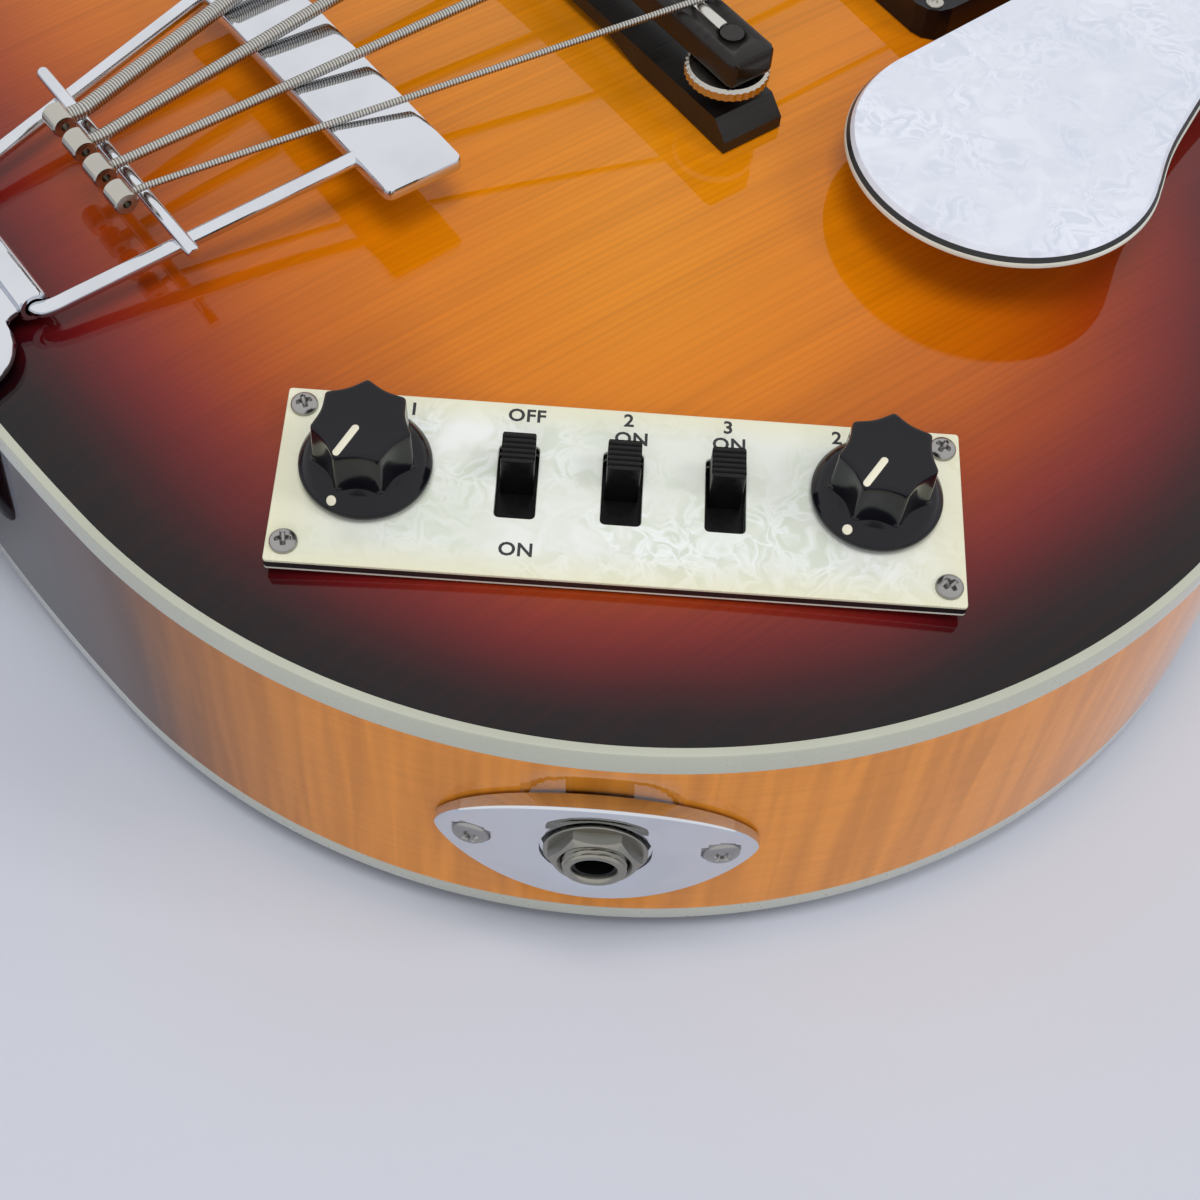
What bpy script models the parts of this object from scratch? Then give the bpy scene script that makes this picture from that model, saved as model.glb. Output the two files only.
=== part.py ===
"""Short-scale hollow electric bass with a violin-shaped body.

The bass lies on its back. X points to the treble side, Y to the headstock, Z up. The origin is on the
back's flat rest, straight below the middle of the bridge, so the nut is one scale length along Y.
"""
import math

import bmesh
import bpy
from mathutils import Matrix, Vector

MM = 0.001
GAP = 0.3 * MM
FINE_GAP = 0.1 * MM
MERGE = 0.01 * MM

# Strings and scale
SCALE_LENGTH = 762 * MM
STRING_NAMES = ("string_e", "string_a", "string_d", "string_g")
STRING_RADII = (1.30 * MM, 1.05 * MM, 0.82 * MM, 0.57 * MM)
BALL_SPACING = 6.4 * MM
BRIDGE_SPACING = 20 * MM
NUT_SPACING = 10.5 * MM
STRING_REST_Z = 80.7 * MM
NUT_REST_Z = 56.9 * MM

# Body plan
TAIL_Y = -128 * MM
LOWER_HALF_WIDTH = 148.6 * MM
LOWER_RADIUS = 113.4 * MM
LOWER_Y = -12.7 * MM
WAIST_HALF_WIDTH = 80 * MM
UPPER_RADIUS = 82 * MM
UPPER_X = 28 * MM
UPPER_Y = 244 * MM
SHOULDER_Y = UPPER_Y + UPPER_RADIUS
LOWER_X = LOWER_HALF_WIDTH - LOWER_RADIUS

# Body section
RIM_DEPTH = 50.5 * MM
BACK_ARCH = 5 * MM
EDGE_Z = BACK_ARCH + RIM_DEPTH
TOP_ARCH = 7.8 * MM
TOP_ROLL = 1.2 * MM
ROLL_REACH = 0.03
TOP_POWER = 1.8
TOP_THICKNESS = 3.2 * MM
BACK_THICKNESS = 3 * MM
BACK_REST_LEVEL = 0.36
TOP_CROWN_LEVEL = 0.12
TOP_SPINE = (-33 * MM, 120 * MM)
BACK_SPINE = (-33 * MM, 200 * MM)
BINDING_WIDTH = 1.4 * MM
TOP_BINDING_DEPTH = 4.7 * MM
BACK_BINDING_DEPTH = 3.6 * MM
SIDE_THICKNESS = 2.3 * MM
LINING_WIDTH = 5 * MM
LINING_DEPTH = 9 * MM
LINING_TAPER = 4 * MM
BLOCK_SIZE = (66 * MM, 26 * MM)
TONE_BAR_X = 46 * MM
TONE_BAR_WIDTH = 6 * MM
TONE_BAR_DEPTH = 9 * MM
TONE_BAR_SPAN = (-45 * MM, 150 * MM)

# Neck and headstock
BOARD_END_Y = 205 * MM
BOARD_THICKNESS = 5.5 * MM
NECK_TILT = math.radians(1.47)
BOARD_TOP_AT_NUT = 55.0 * MM
NUT_WIDTH = 42 * MM
BOARD_END_WIDTH = 56 * MM
CROWN_RADIUS = 300 * MM
FRET_COUNT = 22
FRET_WIDTH = 2.2 * MM
FRET_HEIGHT = 1 * MM
NUT_DEPTH = 5 * MM
HEEL_DEPTH = 47 * MM
NECK_DEPTH_AT_HEEL = 18 * MM
NECK_DEPTH_AT_NUT = 14 * MM
HEAD_TILT = math.radians(6)
HEAD_THICKNESS = 13 * MM
HEAD_HALF_OUTLINE = ((20.5, -2), (21.5, 10), (27, 28), (32.5, 55), (33.5, 85), (32.5, 115), (35, 145),
                     (38, 163), (34, 178), (20, 184), (7, 181), (0, 185))

# Tuners
POST_X = 19 * MM
POST_YS = (62 * MM, 122 * MM)
POST_RADIUS = 5 * MM
POST_HEIGHT = 16 * MM
WIND_HEIGHT = 11.6 * MM
WIND_TURNS = 2.3
WIND_STEPS = 9
WIND_GAP = 0.6 * MM
GEAR_TEETH = 12
GEAR_RADIUS = 7.5 * MM
GEAR_THICKNESS = 4 * MM
WORM_RADIUS = 3 * MM
WORM_GEAR_GAP = 0.15 * MM
GEAR_DROP = 1.4 * MM
STRIP_THICKNESS = 1.2 * MM
KEY_SHAFT_RADIUS = 1.5 * MM
KEY_BUTTON_X = 47 * MM

# Bridge
BRIDGE_WIDTH = 92 * MM
BRIDGE_DEPTH = 12 * MM
BRIDGE_BASE_TOP = 69 * MM
BRIDGE_POST_X = 38 * MM
BRIDGE_POST_RADIUS = 2 * MM
THUMBWHEEL_RADIUS = 7 * MM
THUMBWHEEL_HEIGHT = 2.4 * MM
THUMBWHEEL_Z = 71.5 * MM
SADDLE_HEIGHT = 5.6 * MM

# Tailpiece
HINGE_Y = -112.7 * MM
HINGE_Z = EDGE_Z + 6.7 * MM
ROLL_RADIUS = 2.7 * MM
ROLL_HALF_LENGTH = 14 * MM
ROD_RADIUS = 1.3 * MM
ROD_X_AT_HINGE = 15.4 * MM
ROD_X_AT_BAR = 23 * MM
CROSSBAR_Y = -90.4 * MM
CROSSBAR_RADIUS = 1.1 * MM
CROSSBAR_HALF_LENGTH = 24.1 * MM
BAR_SPAN_Y = (-62 * MM, -48 * MM)
BAR_HALF_WIDTH = 33 * MM
BAR_TOP_Z = EDGE_Z + 18.6 * MM
BAR_THICKNESS = 2.6 * MM
BRACKET_THICKNESS = 1.5 * MM
BRACKET_PATH = ((-114.6, 61.5, 13.6), (-116.4, 60.6, 13.4), (-117.6, 60, 17.2), (-119.4, 59.3, 19.8),
                (-122.6, 58.3, 21.2), (-126, 57.2, 21.3), (-128, 56.1, 21.2), (-128.9, 54.9, 21),
                (-128.9, 49, 21), (-128.9, 24, 18), (-128.9, 19, 12))
STRAP_BUTTON_Y = -128.9 * MM - BRACKET_THICKNESS - GAP
SHOULDER_BEARING = math.radians(118)

# Pickups
PICKUP_YS = (62 * MM, 178 * MM)
PICKUP_TOPS = (73.5 * MM, 71 * MM)
COVER_SIZE = (72 * MM, 31 * MM)
COVER_BASE_Z = 60.5 * MM
SURROUND_SIZE = (88 * MM, 42 * MM)
SURROUND_TOP_Z = 69.5 * MM

# Control panel: X along its length, Y away from the rim, Z out of its face
PANEL_CENTRE = (92 * MM, -61.5 * MM)
PANEL_TOP_Z = EDGE_Z + 7.2 * MM
PANEL_BEARING = math.radians(50.8)
PANEL_TILT = math.radians(4.3)
PANEL_SIZE = (98 * MM, 29.5 * MM)
PANEL_THICKNESS = 2.2 * MM
PANEL_SCREW_X = 46.4 * MM
PANEL_SCREW_Y = 11.7 * MM
KNOB_PLACES = ((-36.4 * MM, 1.6 * MM, math.radians(-116.5)), (36.4 * MM, 2.3 * MM, math.radians(-122.5)))
KNOB_SKIRT_RADIUS = 9.5 * MM
KNOB_HEIGHT = 11.7 * MM
KNOB_SIDES = 7
KNOB_GRIP_RADIUS = 7.5 * MM
SHAFT_RADIUS = 3 * MM
POT_RADIUS = 8.2 * MM
POT_DEPTH = 11 * MM
SWITCH_XS = (-14.9 * MM, 0.1 * MM, 14.9 * MM)
SLOT_SIZE = (5.8 * MM, 12.4 * MM)
SLOT_Y = 1.1 * MM
LEVER_SIZE = (4.8 * MM, 5.2 * MM, 5 * MM)
LEVER_Y = 3.6 * MM
LEVER_RIDGES = 6
SWITCH_BODY_SIZE = (8.6 * MM, 20 * MM, 8 * MM)
WELL_SIZE = (91 * MM, 21.4 * MM)
WELL_CORNER = 9 * MM

# Jack, on the side wall: X along the wall, Y up, Z out of the wall
JACK_BEARING = math.radians(-40.2)
JACK_HEIGHT = BACK_ARCH + 26.5 * MM
JACK_PLATE_SIZE = (47.2 * MM, 27 * MM)
JACK_PLATE_THICKNESS = 3 * MM
JACK_PLATE_TAPER = 1 * MM
JACK_DISH_RADIUS = 9.4 * MM
JACK_BUSHING_RADIUS = 4.75 * MM
JACK_BORE_RADIUS = 3.2 * MM
JACK_NUT_CORNER_RADIUS = 6.9 * MM
JACK_NUT_FACE = (7.6 * MM, 0.6 * MM)
JACK_MOUTH_Z = 5 * MM
JACK_SCREW_X = 18.2 * MM

# Pickguard
GUARD_TOP_Z = EDGE_Z + 18.7 * MM
GUARD_THICKNESS = 2.4 * MM
GUARD_END = (76.7 * MM, 25.4 * MM)
GUARD_END_RADIUS = 25.4 * MM
GUARD_END_START = math.radians(35)
GUARD_BRACKET = (70 * MM, 62 * MM)
GUARD_SIDES = ((49, 95), (47, 160), (45.5, 212), (49, 229), (55.5, 219), (61, 180), (70, 125), (79, 83),
               (90.4, 52.5))

MODEL = bpy.data.collections.new("violin_bass")
CUTTERS = bpy.data.collections.new("cutters")


def clear_scene():
    """Remove what the scene holds and link the two collections."""
    for old in list(bpy.data.objects):
        bpy.data.objects.remove(old, do_unlink=True)
    bpy.context.scene.collection.children.link(MODEL)
    bpy.context.scene.collection.children.link(CUTTERS)


def finish(name, colour, roughness, metallic=0.0):
    """A Principled material."""
    material = bpy.data.materials.new(name)
    material.use_nodes = True
    shader = material.node_tree.nodes["Principled BSDF"]
    shader.inputs["Base Color"].default_value = (*colour, 1)
    shader.inputs["Roughness"].default_value = roughness
    shader.inputs["Metallic"].default_value = metallic
    return material


SUNBURST = finish("sunburst_lacquer", (0.60, 0.22, 0.03), 0.12)
MAPLE = finish("flamed_maple", (0.55, 0.28, 0.09), 0.15)
SPRUCE = finish("plain_spruce", (0.66, 0.48, 0.28), 0.6)
CREAM = finish("cream_binding", (0.50, 0.49, 0.40), 0.3)
ROSEWOOD = finish("rosewood", (0.07, 0.03, 0.02), 0.5)
EBONY = finish("ebony", (0.02, 0.017, 0.015), 0.4)
CHROME = finish("chrome", (0.80, 0.80, 0.82), 0.08, 1.0)
NICKEL = finish("nickel", (0.55, 0.53, 0.50), 0.25, 1.0)
STEEL = finish("steel", (0.45, 0.45, 0.45), 0.3, 1.0)
PEARL = finish("pearl_plastic", (0.72, 0.74, 0.68), 0.25)
BLACK = finish("black_plastic", (0.01, 0.01, 0.011), 0.15)
IVORY = finish("ivory_plastic", (0.75, 0.70, 0.58), 0.4)


def add_piece(name, data, material, parent=None, location=(0, 0, 0)):
    """Link a new object of the model."""
    piece = bpy.data.objects.new(name, data)
    MODEL.objects.link(piece)
    piece.parent = parent
    piece.location = location
    if material:
        data.materials.append(material)
    return piece


def frame(name, location, turns, parent=None):
    """An empty that carries the pieces of one tilted group; turns are (axis, angle), innermost first."""
    empty = bpy.data.objects.new(name, None)
    MODEL.objects.link(empty)
    empty.parent = parent
    matrix = Matrix.Identity(4)
    for axis, angle in turns:
        matrix = Matrix.Rotation(angle, 4, axis) @ matrix
    empty.matrix_basis = Matrix.Translation(location) @ matrix
    return empty


def to_mesh(name, bm):
    """Turn a bmesh into closed mesh data with its faces outwards."""
    bmesh.ops.remove_doubles(bm, verts=bm.verts, dist=MERGE)
    bmesh.ops.recalc_face_normals(bm, faces=bm.faces)
    mesh = bpy.data.meshes.new(name)
    bm.to_mesh(mesh)
    bm.free()
    return mesh


def baked(piece):
    """Replace an object by its evaluated mesh data, with its transform applied."""
    bpy.context.view_layer.update()
    seen = piece.evaluated_get(bpy.context.evaluated_depsgraph_get())
    bm = bmesh.new()
    mesh = bpy.data.meshes.new_from_object(seen)
    bm.from_mesh(mesh)
    bm.transform(piece.matrix_world)
    bpy.data.objects.remove(piece)
    bmesh.ops.remove_doubles(bm, verts=bm.verts, dist=MERGE)
    mesh = bpy.data.meshes.new("baked")
    bm.to_mesh(mesh)
    bm.free()
    return mesh


def gather(name, placed, material, parent=None):
    """One object that holds a separate copy of each (mesh, matrix) pair."""
    bm = bmesh.new()
    for mesh, place in placed:
        copy = mesh.copy()
        copy.transform(place)
        bm.from_mesh(copy)
    mesh = bpy.data.meshes.new(name)
    bm.to_mesh(mesh)
    bm.free()
    mesh.materials.clear()
    return add_piece(name, mesh, material, parent)


def smooth(piece, angle=35):
    """Shade round faces smooth and keep edges sharper than the angle."""
    piece.data.shade_smooth()
    piece.data.set_sharp_from_angle(angle=math.radians(angle))
    return piece


def loft(name, rings, material, parent=None, location=(0, 0, 0), capped=True, around=False):
    """Skin rings of equal length; their ends are capped, or the last ring joins the first."""
    bm = bmesh.new()
    rows = [[bm.verts.new(point) for point in ring] for ring in rings]
    pairs = list(zip(rows, rows[1:]))
    if around:
        pairs.append((rows[-1], rows[0]))
    count = len(rows[0])
    for near, far in pairs:
        for index in range(count):
            after = (index + 1) % count
            bm.faces.new((near[index], near[after], far[after], far[index]))
    if capped and not around:
        bm.faces.new(rows[0])
        bm.faces.new(rows[-1])
    return smooth(add_piece(name, to_mesh(name, bm), material, parent, location))


def box(name, size, centre, material, parent=None):
    """A rectangular block."""
    bm = bmesh.new()
    bmesh.ops.create_cube(bm, size=1.0)
    bmesh.ops.scale(bm, vec=size, verts=bm.verts)
    mesh = to_mesh(name, bm)
    return add_piece(name, mesh, material, parent, centre)


def bevelled(piece, width, segments=2):
    """Round a block's edges."""
    rounding = piece.modifiers.new("rounding", "BEVEL")
    rounding.width = width
    rounding.segments = segments
    return piece


def turned(name, profile, steps, material, parent=None, location=(0, 0, 0), ring=False):
    """Spin (radius, height) points about Z; they run down the outer side. A ring profile closes on itself."""
    edges = [(index, index + 1) for index in range(len(profile) - 1)]
    if ring:
        edges.append((len(profile) - 1, 0))
    mesh = bpy.data.meshes.new(name)
    mesh.from_pydata([(radius, 0, height) for radius, height in profile], edges, [])
    piece = add_piece(name, mesh, material, parent, location)
    spin = piece.modifiers.new("spin", "SCREW")
    spin.steps = steps
    spin.render_steps = steps
    spin.use_merge_vertices = True
    spin.merge_threshold = MERGE
    spin.use_smooth_shade = True
    return piece


def along(piece, direction):
    """Turn a piece made about Z so that its axis points another way."""
    piece.rotation_mode = "QUATERNION"
    piece.rotation_quaternion = Vector((0, 0, 1)).rotation_difference(Vector(direction))
    return piece


def flat_shape(name, outlines, thickness, base_z, material, parent=None):
    """Extrude a flat outline, with any further outlines as holes in it."""
    curve = bpy.data.curves.new(name, "CURVE")
    curve.dimensions = "2D"
    curve.fill_mode = "BOTH"
    curve.extrude = thickness / 2
    for outline in outlines:
        spline = curve.splines.new("POLY")
        spline.points.add(len(outline) - 1)
        for point, (x, y) in zip(spline.points, outline):
            point.co = (x, y, 0, 1)
        spline.use_cyclic_u = True
    return add_piece(name, curve, material, parent, (0, 0, base_z + thickness / 2))


def tube(name, points, radius, sides_level, material, parent=None):
    """A round wire through the given points."""
    curve = bpy.data.curves.new(name, "CURVE")
    curve.dimensions = "3D"
    curve.bevel_depth = radius
    curve.bevel_resolution = sides_level
    curve.use_fill_caps = True
    spline = curve.splines.new("POLY")
    spline.points.add(len(points) - 1)
    for point, place in zip(spline.points, points):
        point.co = (*place, 1)
    return add_piece(name, curve, material, parent)


def as_mesh(piece, material):
    """Swap a curve object for a mesh object of the same name and place."""
    name = piece.name
    piece.name = name + "_curve"
    return add_piece(name, baked(piece), material)


def hide_cutter(piece):
    """Move a piece to the cutters."""
    MODEL.objects.unlink(piece)
    CUTTERS.objects.link(piece)
    piece.hide_render = True
    piece.display_type = "WIRE"
    return piece


def carve(piece, cutter, operation="DIFFERENCE"):
    """Cut one mesh object with another, or join it on."""
    change = piece.modifiers.new(cutter.name, "BOOLEAN")
    change.operation = operation
    change.object = hide_cutter(cutter)
    return piece


def circle(radius, count, centre=(0, 0), start=0.0):
    """Points round a circle in plan."""
    step = 2 * math.pi / count
    return [(centre[0] + radius * math.cos(start + step * index),
             centre[1] + radius * math.sin(start + step * index)) for index in range(count)]


def arc(centre, radius, start, end, count):
    """Points along an arc in plan, both ends included; bearings are in radians from +X."""
    step = (end - start) / (count - 1)
    return [(centre[0] + radius * math.cos(start + step * index),
             centre[1] + radius * math.sin(start + step * index)) for index in range(count)]


def rounded_rectangle(width, depth, radius, per_corner=4):
    """A rectangle about the origin with round corners."""
    points = []
    for quarter, (side_x, side_y) in enumerate(((1, 1), (-1, 1), (-1, -1), (1, -1))):
        centre = (side_x * (width / 2 - radius), side_y * (depth / 2 - radius))
        start = quarter * math.pi / 2
        points += arc(centre, radius, start, start + math.pi / 2, per_corner)
    return points


def smooth_curve(points, per_span, closed=False):
    """Catmull-Rom points through the given ones."""
    count = len(points)
    spans = count if closed else count - 1
    result = []
    for span in range(spans):
        ids = [span - 1, span, span + 1, span + 2]
        ids = [i % count for i in ids] if closed else [min(max(i, 0), count - 1) for i in ids]
        before, start, end, after = (Vector(points[i]) for i in ids)
        for step in range(per_span):
            t = step / per_span
            result.append(tuple(0.5 * (2 * start + (end - before) * t
                                       + (2 * before - 5 * start + 4 * end - after) * t ** 2
                                       + (3 * start - before - 3 * end + after) * t ** 3)))
    if not closed:
        result.append(tuple(points[-1]))
    return result


def raised(outline, z):
    """Lift plan points to a height."""
    return [(x, y, z) for x, y in outline]


def tail_radius():
    """Radius of the tail arc that meets the tail line and runs smoothly into the lower bout's arc."""
    drop = LOWER_Y - TAIL_Y
    return (LOWER_RADIUS ** 2 - LOWER_X ** 2 - drop ** 2) / (2 * (LOWER_RADIUS - drop))


def waist_arc():
    """Centre and radius of the waist arc, tangent to both bouts, found by halving an interval."""
    def spread(radius):
        x = WAIST_HALF_WIDTH + radius
        to_lower = (LOWER_RADIUS + radius) ** 2 - (x - LOWER_X) ** 2
        to_upper = (UPPER_RADIUS + radius) ** 2 - (x - UPPER_X) ** 2
        return math.sqrt(to_lower), math.sqrt(to_upper)
    low, high = 10 * MM, 400 * MM
    for _ in range(60):
        middle = (low + high) / 2
        if sum(spread(middle)) > UPPER_Y - LOWER_Y:
            high = middle
        else:
            low = middle
    return (WAIST_HALF_WIDTH + low, LOWER_Y + spread(low)[0]), low


def body_outline(inset=0.0):
    """The body's plan, anticlockwise from the tail, drawn in by the inset."""
    tail = tail_radius()
    (waist_x, waist_y), waist = waist_arc()
    side = math.asin(LOWER_X / (tail - LOWER_RADIUS))
    to_waist = math.atan2(waist_y - LOWER_Y, waist_x - LOWER_X)
    to_upper = math.atan2(UPPER_Y - waist_y, UPPER_X - waist_x)
    down = -math.pi / 2
    half = arc((0, TAIL_Y + tail), tail - inset, down, down + side, 3)
    half += arc((LOWER_X, LOWER_Y), LOWER_RADIUS - inset, down + side, to_waist, 16)[1:]
    half += arc((waist_x, waist_y), waist + inset, to_waist + math.pi, to_upper, 6)[1:]
    half += arc((UPPER_X, UPPER_Y), UPPER_RADIUS - inset, to_upper - math.pi, math.pi / 2, 9)[1:]
    half.append((0, SHOULDER_Y - inset))
    return half + [(-x, y) for x, y in reversed(half[1:-1])]


def spine_y(y, spine):
    """The point of the centre line that an outline point shrinks towards."""
    share = (y - TAIL_Y) / (SHOULDER_Y - TAIL_Y)
    return spine[0] + share * (spine[1] - spine[0])


def shrunk(outline, level, spine):
    """The outline drawn in towards the spine: level 1 is the outline, level 0 the spine."""
    return [(x * level, spine_y(y, spine) + (y - spine_y(y, spine)) * level) for x, y in outline]


def top_rise(level):
    """Height of the top above its edge: a quick roll at the edge and a broad dome."""
    roll = TOP_ROLL * (1 - math.exp(-(1 - level) / ROLL_REACH))
    return roll + TOP_ARCH * (1 - level ** TOP_POWER)


def back_drop(level):
    """Depth of the back below its edge, flat inside the rest level."""
    return BACK_ARCH * min(1.0, (1 - level) / (1 - BACK_REST_LEVEL)) ** 0.8


def encloses(outline, x, y):
    """Whether a plan point lies inside a closed outline, by counting crossings."""
    inside = False
    for (start_x, start_y), (end_x, end_y) in zip(outline, outline[1:] + outline[:1]):
        if (start_y > y) != (end_y > y) and x < start_x + (end_x - start_x) * (y - start_y) / (end_y - start_y):
            inside = not inside
    return inside


def level_at(x, y, spine):
    """The level whose shrunk outline passes through a plan point, found by halving."""
    outline = body_outline()
    low, high = 0.0, 1.0
    for _ in range(16):
        middle = (low + high) / 2
        if encloses(shrunk(outline, middle, spine), x, y):
            high = middle
        else:
            low = middle
    return high


def top_z(x, y):
    """Height of the top's outer face over a plan point."""
    return EDGE_Z + top_rise(level_at(x, y, TOP_SPINE))


def dome(name, outer_z, inner_z, spine, outer_levels, inner_levels, inset, material):
    """A thin arched plate between an outer and an inner height function of the level."""
    outline = body_outline(inset)
    rings = [raised(shrunk(outline, level, spine), outer_z(level)) for level in outer_levels]
    rings += [raised(shrunk(outline, level, spine), inner_z(level)) for level in reversed(inner_levels)]
    return loft(name, rings, material)


def hoop(name, outer_inset, inner_inset, low_z, high_z, material):
    """A band that follows the body's outline."""
    outlines = [body_outline(outer_inset), body_outline(inner_inset)]
    return flat_shape(name, outlines, high_z - low_z, low_z, material)


def build_body():
    """Top with its tone bars, back, ribs with linings and end blocks, and bindings."""
    plate_inset = BINDING_WIDTH + GAP
    outer_levels = (TOP_CROWN_LEVEL, 0.35, 0.56, 0.75, 0.9, 0.97, 1)
    inner_levels = (TOP_CROWN_LEVEL, 0.5, 0.8, 1)
    top = dome("top_plate", lambda level: EDGE_Z + top_rise(level),
               lambda level: EDGE_Z + top_rise(level) - TOP_THICKNESS,
               TOP_SPINE, outer_levels, inner_levels, plate_inset, SUNBURST)
    for side in (-1, 1):
        carve(top, tone_bar(side), "UNION")
    cut_top(top)
    back_levels = (BACK_REST_LEVEL, 0.7, 1)
    dome("back_plate", lambda level: BACK_ARCH - back_drop(level),
         lambda level: BACK_ARCH - back_drop(level) + BACK_THICKNESS,
         BACK_SPINE, back_levels, back_levels, plate_inset, SUNBURST)
    build_ribs()
    hoop("top_binding", 0, BINDING_WIDTH, EDGE_Z - TOP_BINDING_DEPTH, EDGE_Z, CREAM)
    hoop("back_binding", 0, BINDING_WIDTH, BACK_ARCH, BACK_ARCH + BACK_BINDING_DEPTH, CREAM)


def build_ribs():
    """The glued rib assembly: the bent side wall, the linings along its edges and the end blocks."""
    wall_low = BACK_ARCH + BACK_BINDING_DEPTH + GAP
    wall_high = EDGE_Z - TOP_BINDING_DEPTH - GAP
    low = BACK_ARCH + BACK_THICKNESS + GAP
    high = EDGE_Z - TOP_THICKNESS - GAP
    step = BINDING_WIDTH + 2 * GAP
    lining = SIDE_THICKNESS + LINING_WIDTH
    section = ((0, wall_low), (0, wall_high), (step, wall_high), (step, high), (lining, high),
               (lining, high - LINING_DEPTH + LINING_TAPER), (SIDE_THICKNESS, high - LINING_DEPTH),
               (SIDE_THICKNESS, low + LINING_DEPTH), (lining, low + LINING_DEPTH - LINING_TAPER),
               (lining, low), (step, low), (step, wall_low))
    paths = [raised(body_outline(inset), z) for inset, z in section]
    ribs = loft("rib_assembly", [list(ring) for ring in zip(*paths)], MAPLE, around=True)
    width, depth = BLOCK_SIZE
    height = wall_high - wall_low - 4 * FINE_GAP
    tail_gap = SIDE_THICKNESS - 0.5 * MM
    for name, y in (("tail_block", TAIL_Y + tail_gap + depth / 2),
                    ("neck_block", SHOULDER_Y - tail_gap - depth / 2)):
        carve(ribs, box(name, (width, depth, height), (0, y, (wall_low + wall_high) / 2), None), "UNION")
    drill = ((0, 20 * MM), (11.3 * MM, 20 * MM), (11.3 * MM, -20 * MM), (0, -20 * MM))
    carve(ribs, turned("jack_hole", drill, 24, None, JACK_FRAME))


def cut_top(top):
    """Openings in the top for the pickups and for what hangs below the control panel."""
    for index, y in enumerate(PICKUP_YS):
        size = (COVER_SIZE[0] + 2 * MM, COVER_SIZE[1] + 2 * MM, 30 * MM)
        carve(top, box(f"pickup_opening_{index}", size, (0, y, EDGE_Z), None))
    outline = [(x, y + SLOT_Y) for x, y in rounded_rectangle(*WELL_SIZE, WELL_CORNER)]
    carve(top, as_mesh(flat_shape("control_well", [outline], 40 * MM, -25 * MM, None, PANEL_FRAME), None))


def tone_bar(side):
    """One bar along the underside of the top, sunk a little into it."""
    stations = 8
    rings = []
    for index in range(stations):
        y = TONE_BAR_SPAN[0] + (TONE_BAR_SPAN[1] - TONE_BAR_SPAN[0]) * index / (stations - 1)
        inner = side * (TONE_BAR_X - TONE_BAR_WIDTH / 2)
        outer = side * (TONE_BAR_X + TONE_BAR_WIDTH / 2)
        high = top_z(outer, y) - TOP_THICKNESS / 2
        low = high - TOP_THICKNESS / 2 - TONE_BAR_DEPTH * (0.4 if index in (0, stations - 1) else 1)
        rings.append([(inner, y, low), (outer, y, low), (outer, y, high), (inner, y, high)])
    return loft(f"tone_bar_{side}", rings, None)


def board_width(y):
    """Width of the fretboard at a place along the neck frame, whose origin is at the nut."""
    length = (SCALE_LENGTH - BOARD_END_Y) / math.cos(NECK_TILT)
    return NUT_WIDTH + (BOARD_END_WIDTH - NUT_WIDTH) * min(1.0, max(0.0, -y / length))


def crown(width, y, rise, count=5):
    """Points across the domed face of the fretboard, at a rise above it."""
    points = []
    for index in range(count):
        x = width * (index / (count - 1) - 0.5)
        points.append((x, y, rise - x * x / (2 * CROWN_RADIUS)))
    return points


def neck_section(width, depth, y, squareness, top):
    """One upright section of the neck: flat on top, round or square below."""
    points = []
    count = 11
    for index in range(count):
        angle = math.pi * index / (count - 1)
        side = math.copysign(abs(math.cos(angle)) ** squareness, -math.cos(angle))
        z = top - depth * math.sin(angle) ** squareness
        points.append((side * width / 2, y - z * math.tan(NECK_TILT), z))
    return points


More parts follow.
